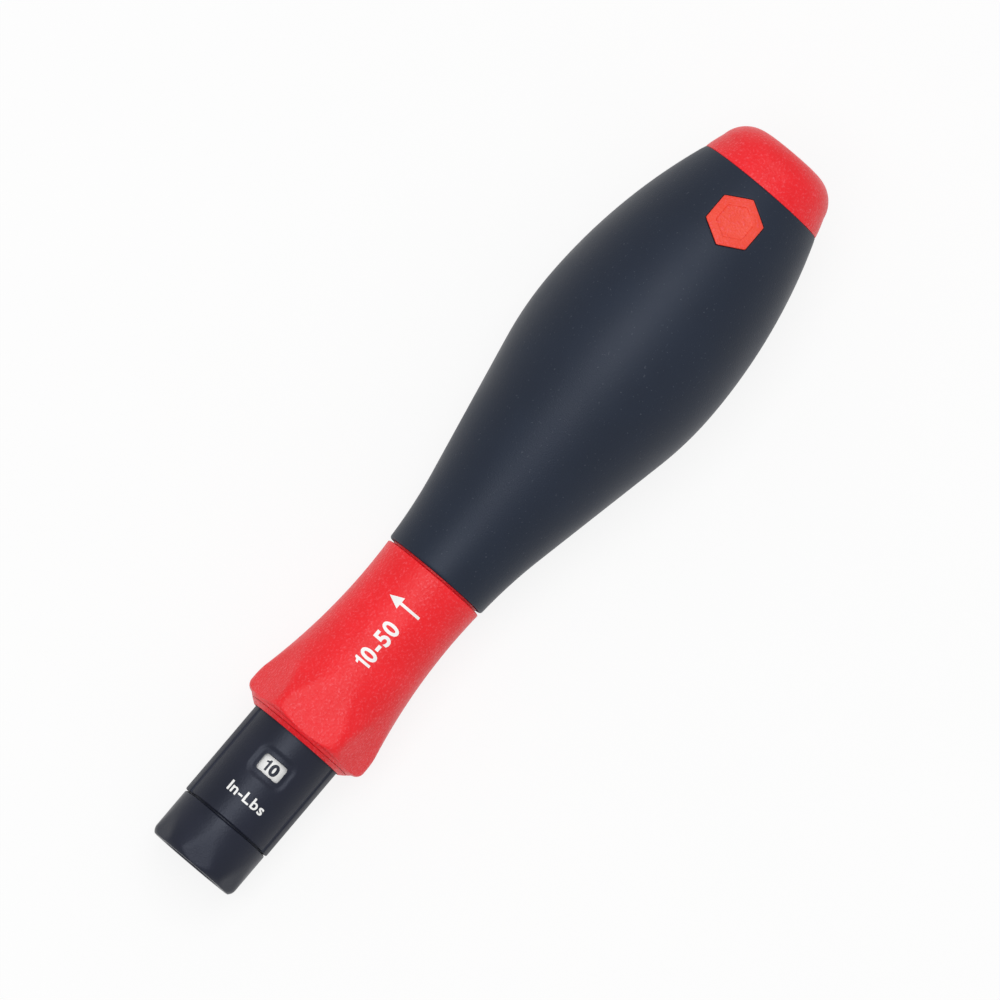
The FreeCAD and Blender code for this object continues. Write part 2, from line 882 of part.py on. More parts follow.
def ratchet_disc():
    body = turned_body(
        "disc",
        ring_outline("disc_front", "disc_rear", "spindle_radius + fit_gap / 2", "clutch_radius"),
    )
    groove = cut_across(
        body,
        "disc_groove",
        "XY_Plane",
        tooth_outline("disc_front", "tooth_height", "tooth_side_gap"),
        offset="tooth_inner_radius - tooth_end_gap",
        length="clutch_radius",
        reverse=True,
    )
    around_axis(body, "disc_grooves", groove, "tooth_count")
    hole = cross_rod("disc_pin_hole", "disc_pin_place", "disc_pin_radius + fit_gap / 2")
    keep("ratchet_disc", less("ratchet_disc_solid", body, hole))


def disc_pin():
    """The cross pin, its ends flush with the disc's rim."""
    bar = cross_rod("disc_pin_bar", "disc_pin_place", "disc_pin_radius")
    rim = rod("disc_pin_rim", "disc_front", "disc_length", "clutch_radius")
    keep("disc_pin", shared("disc_pin_solid", bar, rim))


# ---------------------------------------------------------------- spindle


def output_spindle():
    socket_front = "spindle_recess + pilot_depth"
    groove_half = "(snap_ring_wire / 2 + blade_clearance)"
    shaft = turned_body(
        "shaft",
        [
            ("spindle_recess", "pilot_radius + mouth_chamfer"),
            ("spindle_recess", "spindle_radius - edge_chamfer"),
            ("spindle_recess + edge_chamfer", "spindle_radius"),
            ("wall_front", "spindle_radius"),
            ("wall_front", "journal_radius"),
            ("clip_front", "journal_radius"),
            ("clip_front", "clip_bore"),
            ("clip_front + clip_thickness", "clip_bore"),
            ("clip_front + clip_thickness", "journal_radius"),
            ("spindle_end - edge_chamfer", "journal_radius"),
            ("spindle_end", "journal_radius - edge_chamfer"),
            ("spindle_end", "0"),
            (f"{socket_front}", "0"),
            (f"{socket_front}", "pilot_radius"),
            ("spindle_recess + mouth_chamfer", "pilot_radius"),
        ],
    )
    socket = hex_bar(
        "socket_hexagon", socket_front, "socket_depth", "blade_across_flats + 2 * blade_clearance"
    )
    groove = turned_body(
        "snap_ring_groove",
        ring_outline(
            f"snap_ring_mid - {groove_half}",
            f"snap_ring_mid + {groove_half}",
            "blade_across_flats / 4",
            "snap_ring_outer + press_gap",
        ),
    )
    pin_hole = cross_rod("spindle_pin_hole", "disc_pin_place", "disc_pin_radius + fit_gap / 2")
    keep("output_spindle", less("output_spindle_solid", shaft, socket, groove, pin_hole))


def blade_snap_ring():
    """A round wire ring with a gap, in the groove inside the blade socket."""
    center = "snap_ring_outer - snap_ring_wire / 2"
    ring = turned_body("snap_loop", wire_outline("snap_ring_mid", center, "snap_ring_wire"))
    opening = box_at(
        "snap_opening",
        "snap_ring_mid - cut_over",
        "-snap_ring_slot / 2",
        "0",
        "2 * cut_over",
        "snap_ring_slot",
        "spindle_radius",
    )
    keep("blade_snap_ring", less("blade_snap_ring_solid", ring, opening))


def retaining_clip():
    """A snap ring in the spindle's rear groove, open on one side."""
    ring = turned_body(
        "clip_ring",
        ring_outline(
            "clip_front", "clip_front + clip_thickness", "clip_bore + press_gap", "clip_radius"
        ),
    )
    mouth = [
        ("clip_front - cut_over", "-clip_mouth / 2"),
        ("clip_front - cut_over", "clip_mouth / 2"),
        ("clip_front + clip_thickness + cut_over", "clip_mouth / 2"),
        ("clip_front + clip_thickness + cut_over", "-clip_mouth / 2"),
    ]
    cut_across(
        ring, "clip_mouth_cut", "XY_Plane", mouth, offset="0", length="clip_radius", reverse=True
    )
    keep("retaining_clip", ring)


# ---------------------------------------------------------------- clutch sleeve


def clutch_sleeve():
    sleeve = turned_body(
        "sleeve",
        [
            ("tube_end", "barrel_bore"),
            ("tube_end", "tube_radius"),
            ("wall_rear", "tube_radius"),
            ("wall_rear", "bush_radius + fit_gap"),
            ("wall_front", "bush_radius + fit_gap"),
            ("wall_front", "barrel_bore"),
        ],
    )
    keyway = cut_across(
        sleeve,
        "keyway",
        "XY_Plane",
        [
            ("tube_end - cut_over", "-keyway_width / 2"),
            ("tube_end - cut_over", "keyway_width / 2"),
            ("keyway_end", "keyway_width / 2"),
            ("keyway_end", "-keyway_width / 2"),
        ],
        offset="clutch_radius - cut_over",
        length="tube_radius",
        reverse=True,
    )
    around_axis(sleeve, "keyways", keyway, "clutch_key_count")
    tail_bar = hex_bar(
        "tail_bar",
        "wall_rear - join_overlap",
        "sleeve_tail_length + join_overlap",
        "sleeve_tail_flats",
    )
    tail_hole = rod("tail_hole", "wall_rear", "sleeve_tail_length + cut_over", "sleeve_tail_bore")
    wall_hole = rod("wall_hole", "wall_rear - cut_over", "2 * cut_over", "bush_radius + fit_gap")
    tail = less("sleeve_tail", tail_bar, tail_hole, wall_hole)
    keep("clutch_sleeve", united("clutch_sleeve_solid", sleeve, tail))


def rear_bearing():
    washer = turned_body(
        "rear_washer",
        ring_outline("disc_rear", "wall_front", "spindle_radius + open_gap", "clutch_radius"),
    )
    keep("rear_thrust_washer", washer)
    bush = turned_body(
        "bush",
        ring_outline("wall_front + running_gap", "wall_rear", "bush_bore", "bush_radius"),
    )
    keep("rear_bush", bush)


# ---------------------------------------------------------------- collar


def collar():
    body = turned_body(
        "collar_form",
        [
            ("collar_place", "front_ring_spigot_radius + fit_gap"),
            ("collar_place", "collar_front_radius"),
            ("collar_place + collar_face_length", "collar_step_radius"),
            (
                "collar_place + collar_face_length + collar_chamfer_length",
                "collar_lip_radius",
                ("collar_shoulder_round", 1),
            ),
            (
                "collar_place + collar_shoulder_place",
                "collar_shoulder_radius",
                ("collar_sweep_radius", -1),
            ),
            ("collar_rear - edge_chamfer", "collar_rear_radius"),
            ("collar_rear", "collar_rear_radius - edge_chamfer"),
            ("collar_rear", "collar_rear_bore"),
            ("barrel_end", "collar_rear_bore"),
            ("barrel_end", "collar_front_bore"),
            ("ring_seat", "collar_front_bore"),
            ("ring_seat", "front_ring_spigot_radius + fit_gap"),
        ],
    )
    flats = hex_bar(
        "collar_flats",
        "collar_place - cut_over",
        "collar_length + 2 * cut_over",
        "2 * collar_flat_apothem",
    )
    keep("collar", shared("collar_solid", body, flats))


def collar_front_ring():
    ring = turned_body(
        "front_ring",
        [
            ("collar_place - front_ring_length", "collar_front_bore"),
            ("collar_place - front_ring_length", "front_ring_front_radius"),
            ("collar_place - fit_gap", "front_ring_rear_radius"),
            ("collar_place - fit_gap", "front_ring_spigot_radius"),
            ("ring_seat", "front_ring_spigot_radius"),
            ("ring_seat", "collar_front_bore"),
        ],
    )
    keep("collar_front_ring", ring)


# ---------------------------------------------------------------- handle


def handle_form(label, proud):
    """The whole outside of the handle as a solid, standing proud of the grip."""
    return turned_body(
        label,
        [
            ("flank_end", "0"),
            ("flank_end", f"flank_end_radius + {proud}", (f"belly_front_sweep + {proud}", 1)),
            ("belly_place", f"belly_radius + {proud}", (f"belly_rear_sweep + {proud}", 1)),
            ("grip_rear_place", f"grip_rear_radius + {proud}"),
            ("grip_rear_place", "0"),
        ],
    )


def badge_prism(name, flats, bottom):
    """An upright hexagonal bar, two corners pointing along the tool."""
    bar = cutter(
        "Part::Prism",
        name,
        Circumradius=f"({flats}) / 2 / cos(30)",
        Height=f"belly_radius + cut_over - ({bottom})",
    )
    bar.Polygon = 6
    bind(bar, "Placement.Base.x", "badge_place")
    bind(bar, "Placement.Base.z", bottom)
    return bar


def grip_core():
    core = turned_body(
        "core",
        [
            ("collar_rear", "collar_rear_bore"),
            ("collar_rear", "core_neck_radius"),
            ("core_neck_end", "core_neck_radius"),
            ("core_belly_front", "core_belly_radius"),
            ("core_belly_rear", "core_belly_radius"),
            ("grip_rear_place", "core_rear_radius"),
            ("grip_rear_place", "grip_rear_radius"),
            ("dome_flank_end", "dome_flank_radius", ("dome_corner_round", 1)),
            ("overall_length", "dome_face_radius"),
            ("overall_length", "0"),
            ("core_bore_end", "0"),
            ("core_bore_end", "core_bore_end_radius"),
            ("wall_rear", "core_bore_end_radius"),
            ("wall_rear", "collar_rear_bore"),
        ],
    )
    socket = hex_bar(
        "tail_socket",
        "wall_rear - join_overlap",
        "sleeve_tail_length + join_overlap",
        "sleeve_tail_flats + 2 * fit_gap",
    )
    outer = handle_form("badge_face_form", "badge_proud")
    bar = badge_prism("badge_bar", "badge_flats", "badge_surface - badge_foot_depth")
    boss = shared("badge_boss", bar, outer)
    slope = math.degrees(math.asin(value("(badge_place - belly_place) / belly_rear_sweep")))
    dish = cutter(
        "Part::Prism",
        "badge_dish",
        Circumradius="badge_dish_flats / 2 / cos(30)",
        Height="2 * cut_over",
    )
    dish.Polygon = 6
    dish.Placement.Rotation = FreeCAD.Rotation(FreeCAD.Vector(0, 1, 0), slope)
    bind(dish, "Placement.Base.x", "badge_place")
    bind(dish, "Placement.Base.z", "badge_surface + badge_proud - badge_dish_depth")
    pin_hole = cross_rod("core_pin_hole", "housing_pin_place", "housing_pin_radius + fit_gap")
    whole = united("core_with_badge", less("bored_core", core, socket), boss)
    keep("grip_core", less("grip_core_solid", whole, dish, pin_hole))


def soft_grip():
    gap = "fit_gap"
    skin = turned_body(
        "grip_skin",
        [
            ("grip_front", f"core_neck_radius + {gap}"),
            ("grip_front", "grip_front_radius - grip_front_round", ("grip_front_round", 1)),
            ("grip_front + grip_front_round", "grip_front_radius", ("grip_neck_sweep", -1)),
            ("neck_end", "neck_end_radius"),
            ("flank_end", "flank_end_radius", ("belly_front_sweep", 1)),
            ("belly_place", "belly_radius", ("belly_rear_sweep", 1)),
            ("grip_rear_place", "grip_rear_radius"),
            ("grip_rear_place", f"core_rear_radius + {gap}"),
            ("core_belly_rear", f"core_belly_radius + {gap}"),
            ("core_belly_front", f"core_belly_radius + {gap}"),
            ("core_neck_end", f"core_neck_radius + {gap}"),
        ],
    )
    hole = badge_prism(
        "badge_hole", "badge_flats + 2 * fit_gap", "badge_surface - badge_foot_depth"
    )
    keep("soft_grip", less("soft_grip_solid", skin, hole))


def housing_pins():
    """Two short dowels, one each side, through the core's neck into the barrel tube."""
    inner = "barrel_bore + housing_pin_depth"
    pins = []
    for name, turn, start in (("pin_left", -90, inner), ("pin_right", 90, f"-({inner})")):
        pin = cutter(
            "Part::Cylinder",
            name,
            Radius="housing_pin_radius",
            Height=f"core_neck_radius - housing_pin_depth - ({inner})",
        )
        pin.Placement.Rotation = FreeCAD.Rotation(FreeCAD.Vector(1, 0, 0), turn)
        bind(pin, "Placement.Base.x", "housing_pin_place")
        bind(pin, "Placement.Base.y", start)
        pins.append(pin)
    pair = doc.addObject("Part::Compound", "housing_pin_pair")
    pair.Links = pins
    keep("housing_pins", pair)


# ---------------------------------------------------------------- build and lay down

BUILDERS = (
    nose_cap,
    scale_housing,
    adjusting_screw,
    brake_ring,
    thrust_washer,
    setting_nut,
    scale_carrier,
    number_strip,
    spring_seats,
    torque_spring,
    clutch_ring,
    ratchet_disc,
    disc_pin,
    output_spindle,
    blade_snap_ring,
    retaining_clip,
    clutch_sleeve,
    rear_bearing,
    collar,
    collar_front_ring,
    grip_core,
    soft_grip,
    housing_pins,
)
for build in BUILDERS:
    build()
doc.recompute()


def rest_placement():
    """Lays the tool on the belly of the grip and the front edge of a collar flat.

    Both lie on the line from the flat's front edge that touches the belly's front arc.
    """
    flat_front = value("collar_place + collar_face_length")
    edge = FreeCAD.Vector(flat_front, 0, -value("collar_flat_apothem"))
    sweep = value("belly_front_sweep")
    center = FreeCAD.Vector(value("belly_place"), 0, sweep - value("belly_radius"))
    reach = center - edge
    tilt = math.asin(sweep / reach.Length) - math.atan2(reach.z, reach.x)
    turn = FreeCAD.Rotation(FreeCAD.Vector(0, 1, 0), -math.degrees(tilt))
    lowest = turn.multVec(center).z - sweep
    laid = FreeCAD.Placement(FreeCAD.Vector(0, 0, 0), turn)
    boxes = [posed(item, laid).optimalBoundingBox(False) for item in nodes]
    front = min(box.XMin for box in boxes)
    rear = max(box.XMax for box in boxes)
    return FreeCAD.Placement(FreeCAD.Vector(-(front + rear) / 2, 0, -lowest), turn)


def posed(item, placement):
    shape = item.Shape.copy()
    shape.Placement = placement.multiply(shape.Placement)
    return shape


rest = rest_placement()
for item in nodes:
    item.Placement = rest.multiply(item.Placement)
doc.recompute()

for item in doc.Objects:
    if "Invalid" in item.State or "Error" in item.State:
        raise RuntimeError(f"{item.Name} failed: {item.State}")
for item in nodes:
    if item.Shape.isNull() or not item.Shape.isValid():
        raise RuntimeError(f"{item.Label} has no valid shape")

os.makedirs("parts", exist_ok=True)
for item in nodes:
    item.Shape.exportStep(f"parts/{item.Label}.step")
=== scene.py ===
import bmesh
import bpy
import json
import math
from mathutils import Matrix, Vector


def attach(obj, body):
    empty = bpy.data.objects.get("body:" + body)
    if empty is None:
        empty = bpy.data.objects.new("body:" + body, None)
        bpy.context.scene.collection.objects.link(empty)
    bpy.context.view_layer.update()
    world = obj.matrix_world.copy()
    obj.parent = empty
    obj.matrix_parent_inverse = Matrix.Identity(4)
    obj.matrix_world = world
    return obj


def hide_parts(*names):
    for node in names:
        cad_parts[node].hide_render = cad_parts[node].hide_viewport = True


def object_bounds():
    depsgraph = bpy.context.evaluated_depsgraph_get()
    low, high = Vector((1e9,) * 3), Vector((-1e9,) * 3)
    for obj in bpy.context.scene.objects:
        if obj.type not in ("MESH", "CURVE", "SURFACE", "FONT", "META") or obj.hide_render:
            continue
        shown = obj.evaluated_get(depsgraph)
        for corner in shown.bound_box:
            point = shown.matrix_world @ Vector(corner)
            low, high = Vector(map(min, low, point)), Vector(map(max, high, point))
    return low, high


# Looks of the adjustable torque screwdriver.
# Local coordinates are in millimetres: X along the tool from the nose's front face,
# Z towards the side with the scale window. LAY takes them to the row frame.

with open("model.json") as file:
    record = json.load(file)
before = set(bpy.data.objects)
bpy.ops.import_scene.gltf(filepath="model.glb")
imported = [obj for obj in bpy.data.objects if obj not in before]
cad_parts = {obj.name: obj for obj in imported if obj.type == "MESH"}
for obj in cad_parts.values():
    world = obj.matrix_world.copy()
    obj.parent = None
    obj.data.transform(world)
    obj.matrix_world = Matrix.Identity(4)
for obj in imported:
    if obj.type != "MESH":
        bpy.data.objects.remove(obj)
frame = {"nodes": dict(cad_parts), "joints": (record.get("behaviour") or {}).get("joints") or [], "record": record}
cad_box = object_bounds()

MM = 0.001

# ---------------------------------------------------------------- the tool's axis

SPINDLE_RECESS = 1.0
spindle = next(j for j in frame["joints"] if j["name"] == "spindle_spin")
AXIS = Vector(spindle["axis"]).normalized()
UP = Vector((-AXIS.z, 0, AXIS.x))
NOSE = Vector(spindle["pos_m"]) - AXIS * SPINDLE_RECESS * MM
LAY = Matrix.Translation(NOSE) @ Matrix(
    (
        (AXIS.x, 0, UP.x, 0),
        (0, 1, 0, 0),
        (AXIS.z, 0, UP.z, 0),
        (0, 0, 0, 1),
    )
) @ Matrix.Scale(MM, 4)

# ---------------------------------------------------------------- measures of the frame

LAY_BACK = LAY.inverted()


def extent(name):
    """Front, rear and widest radius of a CAD node along the tool, in local millimetres."""
    points = [LAY_BACK @ vertex.co for vertex in frame["nodes"][name].data.vertices]
    places = [point.x for point in points]
    return min(places), max(places), max(math.hypot(point.y, point.z) for point in points)


def level(line, x):
    """Radius of a line of (x, radius) points at x."""
    for (ax, ar), (bx, br) in zip(line, line[1:]):
        if ax <= x <= bx and bx > ax:
            return ar + (br - ar) * (x - ax) / (bx - ax)
    return line[0][1] if x < line[0][0] else line[-1][1]


def arc(a, b, radius, side, steps):
    """Points after a, up to b, on an arc that bulges outward (side 1) or inward (-1)."""
    half = math.dist(a, b) / 2
    depth = math.sqrt(radius**2 - half**2) * side
    middle = ((a[0] + b[0]) / 2, (a[1] + b[1]) / 2)
    centre = (
        middle[0] + (b[1] - a[1]) / 2 / half * depth,
        middle[1] - (b[0] - a[0]) / 2 / half * depth,
    )
    start = math.atan2(a[1] - centre[1], a[0] - centre[0])
    turn = math.atan2(b[1] - centre[1], b[0] - centre[0]) - start
    turn = (turn + math.pi) % math.tau - math.pi
    angles = [start + turn * k / steps for k in range(1, steps + 1)]
    return [
        (centre[0] + radius * math.cos(v), centre[1] + radius * math.sin(v)) for v in angles
    ]


def soften(section, size, closed=True):
    """Rounds each sharp corner of a section with a short curve."""
    corners = []
    count = len(section)
    for i, point in enumerate(section):
        p = Vector(point)
        before, after = Vector(section[i - 1]), Vector(section[(i + 1) % count])
        if not closed and i in (0, count - 1):
            corners.append(point)
            continue
        into, out = p - before, after - p
        if into.length < 1e-6 or out.length < 1e-6 or into.angle(out) < SHARP_CORNER:
            corners.append(point)
            continue
        a = p - into.normalized() * min(size, into.length * 0.4)
        b = p + out.normalized() * min(size, out.length * 0.4)
        for t in (0, 0.25, 0.5, 0.75, 1):
            q = a * (1 - t) ** 2 + p * 2 * t * (1 - t) + b * t**2
            corners.append((q.x, q.y))
    return corners


SHARP_CORNER = math.radians(22)


def soft_least(a, b, width):
    """The lesser of a and b, with the change between them rounded over width."""
    near = max(width - abs(a - b), 0) / width
    return min(a, b) - near * near * width / 4


def hexagon_reach(flat, angle):
    """Distance from the axis to a hexagon's side; its flats face up and down."""
    sixth = math.pi / 3
    return flat / math.cos((angle + sixth / 2) % sixth - sixth / 2)


def smooth(t):
    t = min(max(t, 0.0), 1.0)
    return t * t * (3 - 2 * t)


# ---------------------------------------------------------------- mesh helpers


def ring(bm, x, radius, angles, form=None):
    """One ring of vertices around the axis, or a single one on it."""
    if radius == 0:
        return [bm.verts.new((x, 0, 0))]
    loop = []
    for angle in angles:
        r = form(x, radius, angle) if form else radius
        loop.append(bm.verts.new((x, r * math.sin(angle), r * math.cos(angle))))
    return loop


def bridge(bm, a, b, skip=()):
    """Faces between two closed loops of vertices. A loop may be a single vertex."""
    count = max(len(a), len(b))
    for i in range(count):
        if i in skip:
            continue
        j = (i + 1) % count
        around = [a[i % len(a)], a[j % len(a)], b[j % len(b)], b[i % len(b)]]
        face = []
        for vertex in around:
            if vertex not in face:
                face.append(vertex)
        bm.faces.new(face)


def even_angles(count):
    return [math.tau * k / count for k in range(count)]


SHARP_EDGE = 40


def make_piece(name, bm, material, body, replaced=()):
    """Lays a bmesh in the row frame as a piece that rides on a body."""
    bmesh.ops.recalc_face_normals(bm, faces=bm.faces)
    mesh = bpy.data.meshes.new(name)
    bm.to_mesh(mesh)
    bm.free()
    mesh.transform(LAY)
    mesh.shade_smooth()
    mesh.set_sharp_from_angle(angle=math.radians(SHARP_EDGE))
    mesh.materials.append(material)
    item = bpy.data.objects.new(name, mesh)
    bpy.context.scene.collection.objects.link(item)
    even = item.modifiers.new("even_shading", "WEIGHTED_NORMAL")
    even.keep_sharp = True
    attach(item, body)
    if replaced:
        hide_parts(*replaced)
    return item


def turned(section, angles, form=None, closed=True):
    """A turned solid: rings of the section, joined in turn."""
    bm = bmesh.new()
    loops = [ring(bm, x, r, angles, form) for x, r in section]
    for a, b in zip(loops, loops[1:]):
        bridge(bm, a, b)
    if closed:
        bridge(bm, loops[-1], loops[0])
    return bm


def rounded_box_gap(half_x, half_y, corner):
    """Signed distance to a rounded rectangle round the origin."""

    def gap(x, y):
        dx, dy = abs(x) - half_x + corner, abs(y) - half_y + corner
        outside = math.hypot(max(dx, 0), max(dy, 0))
        return outside + min(max(dx, dy), 0) - corner

    return gap


def hexagon_gap(flat, corner):
    """Signed distance to a rounded hexagon with two corners on the X axis."""
    inner = flat - corner
    side = inner / math.cos(math.pi / 6) / 2

    def gap(x, y):
        x, y = abs(x), abs(y)
        most = 0.0
        best = None
        for turn in (math.pi / 2, math.pi / 6):
            nx, ny = math.cos(turn), math.sin(turn)
            along = x * -ny + y * nx
            off = x * nx + y * ny - inner
            beyond = max(abs(along) - side, 0) if off > 0 else 0
            reach = math.hypot(off, beyond) if off > 0 else off
            if best is None or off > most:
                most, best = off, reach
        return best - corner

    return gap


def out_to(gap, wanted, dx, dy):
    """The point along (dx, dy) from the origin where the gap reaches the wanted value."""
    near, far = 0.0, 1.0
    for _ in range(30):
        middle = (near + far) / 2
        if gap(dx * middle, dy * middle) < wanted:
            near = middle
        else:
            far = middle
    return dx * near, dy * near


def border(rows, first, last, left, right):
    """The vertices round a rectangle of a grid, in order."""
    loop = [rows[first][k] for k in range(left, right)]
    loop += [rows[k][right] for k in range(first, last)]
    loop += [rows[last][k] for k in range(right, left, -1)]
    loop += [rows[k][left] for k in range(last, first, -1)]
    return loop


def pierce(bm, outer, inner, centre, gap, over, under, steps, edge=0.1):
    """Cuts a shaped hole between two shells, inside two matching borders.

    outer and inner are the borders' vertices, over(x, y) and under(x, y) the shells' heights.
    """
    rays = [(v.co.x - centre, v.co.y) for v in outer]
    rim = [out_to(gap, edge, dx, dy) for dx, dy in rays]
    loops = [outer]
    for k in range(1, steps):
        t = k / steps
        loops.append(
            [
                (dx + (rx - dx) * t, dy + (ry - dy) * t, 0)
                for (dx, dy), (rx, ry) in zip(rays, rim)
            ]
        )
    for wanted, drop in ((edge, 0), (edge * 0.4, edge * 0.12), (edge * 0.12, edge * 0.4), (0, edge)):
        loops.append([(*out_to(gap, wanted, dx, dy), drop) for dx, dy in rays])
    for k in range(1, len(loops)):
        loops[k] = [
            bm.verts.new((centre + x, y, over(centre + x, y) - drop)) for x, y, drop in loops[k]
        ]
    foot = [bm.verts.new((v.co.x, v.co.y, under(v.co.x, v.co.y))) for v in loops[-1]]
    for a, b in zip(loops, loops[1:] + [foot]):
        bridge(bm, a, b)
    bridge(bm, foot, inner)

# ---------------------------------------------------------------- node helpers


class Nodes:
    """A small builder for one material's node tree."""

    def __init__(self, name):
        self.material = bpy.data.materials.new(name)
        self.material.use_nodes = True
        self.tree = self.material.node_tree
        self.shader = self.tree.nodes["Principled BSDF"]
        where = self.tree.nodes.new("ShaderNodeTexCoord")
        self.place = where.outputs["Object"]

    def add(self, kind, **values):
        node = self.tree.nodes.new(kind)
        for key, value in values.items():
            setattr(node, key, value)
        return node

    def link(self, a, b):
        self.tree.links.new(a, b)

    def noise(self, size_mm, detail=2.0, roughness=0.5):
        """Noise with cells of about this size."""
        node = self.add("ShaderNodeTexNoise")
        node.inputs["Scale"].default_value = 1 / (size_mm * MM)
        node.inputs["Detail"].default_value = detail
        node.inputs["Roughness"].default_value = roughness
        self.link(self.place, node.inputs["Vector"])
        return node.outputs["Fac"]

    def ramp(self, source, low, high, start=0.0, end=1.0):
        """Maps source from low..high to start..end, and stops at both ends."""
        node = self.add("ShaderNodeMapRange")
        self.link(source, node.inputs["Value"])
        node.inputs["From Min"].default_value = low
        node.inputs["From Max"].default_value = high
        node.inputs["To Min"].default_value = start
        node.inputs["To Max"].default_value = end
        return node.outputs["Result"]

    def blend(self, factor, a, b):
        """Colour a where factor is 0 and b where it is 1."""
        node = self.add("ShaderNodeMix", data_type="RGBA")
        self.link(factor, node.inputs["Factor"])
        for socket, colour in ((node.inputs["A"], a), (node.inputs["B"], b)):
            if isinstance(colour, tuple):
                socket.default_value = (*colour, 1)
            else:
                self.link(colour, socket)
        return node.outputs["Result"]

    def bump(self, height, depth_mm, after=None):
        node = self.add("ShaderNodeBump")
        node.inputs["Strength"].default_value = 1.0
        node.inputs["Distance"].default_value = depth_mm * MM
        self.link(height, node.inputs["Height"])
        if after:
            self.link(after, node.inputs["Normal"])
        return node.outputs["Normal"]

    def paint(self, colour=None, roughness=None, normal=None, **constants):
        for socket, source in (
            ("Base Color", colour),
            ("Roughness", roughness),
            ("Normal", normal),
        ):
            if source is not None:
                self.link(source, self.shader.inputs[socket])
        for key, value in constants.items():
            self.shader.inputs[key.replace("_", " ")].default_value = value
        return self.material


COOL = (0.80, 0.86, 1.0, 1.0)


def grained_red(name, deep, bright):
    """Hard red moulding with a fine orange-peel grain; pale pink specks on the grain's peaks are painted
    highlights.
    """
    n = Nodes(name)
    broad = n.noise(6.0, 3.0)
    grain = n.noise(0.34, 2.0, 0.6)
    fine = n.noise(0.15, 1.0)
    base = n.blend(n.ramp(broad, 0.35, 0.65), deep, bright)
    # pale pink specks on the grain's peaks: painted highlights that stand in for glints of the lamp on the grain
    painted_glints = n.blend(n.ramp(grain, 0.54, 0.70, 0.0, 0.6), base, (0.95, 0.085, 0.110))
    normal = n.bump(fine, 0.03, n.bump(grain, 0.10))
    rough = n.ramp(grain, 0.3, 0.7, 0.46, 0.34)
    return n.paint(painted_glints, rough, normal, Specular_IOR_Level=0.42)


def soft_black():
    """Soft overmould: matt blue-black rubber with dust-fine specks."""
    n = Nodes("soft_black")
    broad = n.noise(9.0, 3.0)
    grain = n.noise(0.22, 2.0, 0.6)
    base = n.blend(n.ramp(broad, 0.3, 0.7), (0.003, 0.007, 0.017), (0.005, 0.010, 0.022))
    specks = n.ramp(n.noise(0.34, 1.0), 0.70, 0.78, 0.0, 0.5)
    colour = n.blend(specks, base, (0.055, 0.065, 0.085))
    normal = n.bump(grain, 0.028)
    rough = n.ramp(broad, 0.3, 0.7, 0.44, 0.52)
    return n.paint(colour, rough, normal, Specular_IOR_Level=0.36, Specular_Tint=COOL)


def satin_black(name, rough_low, rough_high, grain_mm=0.26, depth_mm=0.035):
    n = Nodes(name)
    broad = n.noise(5.0, 3.0)
    grain = n.noise(grain_mm, 2.0, 0.6)
    colour = n.blend(n.ramp(broad, 0.3, 0.7), (0.001, 0.002, 0.009), (0.004, 0.005, 0.014))
    rough = n.ramp(broad, 0.3, 0.7, rough_low, rough_high)
    normal = n.bump(grain, depth_mm)
    return n.paint(colour, rough, normal, Specular_IOR_Level=0.36, Specular_Tint=COOL)


def metal(name, light, dark, rough_low, rough_high, brush_mm=0.15, depth_mm=0.004):
    """Turned metal: fine rings across the axis, with slight stains."""
    n = Nodes(name)
    stretch = n.add("ShaderNodeMapping")
    stretch.inputs["Scale"].default_value = (1.0, 0.08, 0.08)
    n.link(n.place, stretch.inputs["Vector"])
    rings = n.add("ShaderNodeTexNoise")
    rings.inputs["Scale"].default_value = 1 / (brush_mm * MM)
    rings.inputs["Detail"].default_value = 3.0
    n.link(stretch.outputs["Vector"], rings.inputs["Vector"])
    lines = rings.outputs["Fac"]
    stain = n.noise(2.5, 3.0)
    colour = n.blend(n.ramp(stain, 0.35, 0.65), light, dark)
    rough = n.ramp(lines, 0.3, 0.7, rough_low, rough_high)
    return n.paint(colour, rough, n.bump(lines, depth_mm), Metallic=1.0)


def rubber_cord():
    n = Nodes("seal_rubber")
    broad = n.noise(1.2, 2.0)
    colour = n.blend(n.ramp(broad, 0.3, 0.7), (0.010, 0.010, 0.011), (0.018, 0.018, 0.020))
    return n.paint(colour, n.ramp(broad, 0.3, 0.7, 0.55, 0.7), n.bump(broad, 0.01))


def strip_white(name):
    n = Nodes(name)
    broad = n.noise(2.0, 3.0)
    colour = n.blend(n.ramp(broad, 0.3, 0.7), (0.86, 0.86, 0.85), (0.92, 0.92, 0.91))
    return n.paint(colour, n.ramp(broad, 0.3, 0.7, 0.30, 0.42), n.bump(n.noise(0.3), 0.003))


MATERIALS = {
    "black_barrel": satin_black("barrel_black", 0.34, 0.44),
    "black_plastic": satin_black("carrier_black", 0.46, 0.56),
    "red_plastic": grained_red("grained_red", (0.84, 0.002, 0.008), (0.90, 0.005, 0.013)),
    "soft_black": soft_black(),
    "white_strip": strip_white("strip_white"),
    "steel": metal("turned_steel", (0.60, 0.60, 0.61), (0.50, 0.50, 0.52), 0.22, 0.38),
    "spring_steel": metal("spring_steel", (0.42, 0.43, 0.46), (0.33, 0.34, 0.37), 0.3, 0.45),
    "brass": metal("turned_brass", (0.80, 0.62, 0.30), (0.70, 0.50, 0.22), 0.25, 0.4),
    "bronze": metal("sintered_bronze", (0.60, 0.40, 0.22), (0.48, 0.31, 0.17), 0.4, 0.55),
    "seal_rubber": rubber_cord(),
}

# the badge carries the same painted highlight specks on its grain
BADGE_RED = grained_red("badge_red", (0.86, 0.045, 0.020), (0.90, 0.070, 0.035))
PRINT_WHITE = strip_white("print_white")
PRINT_BLACK = satin_black("print_black", 0.4, 0.5)

for row in frame["record"]["subparts"]:
    node = frame["nodes"][row["node"]]
    node.data.materials.clear()
    node.data.materials.append(MATERIALS[row["material_slot"]])

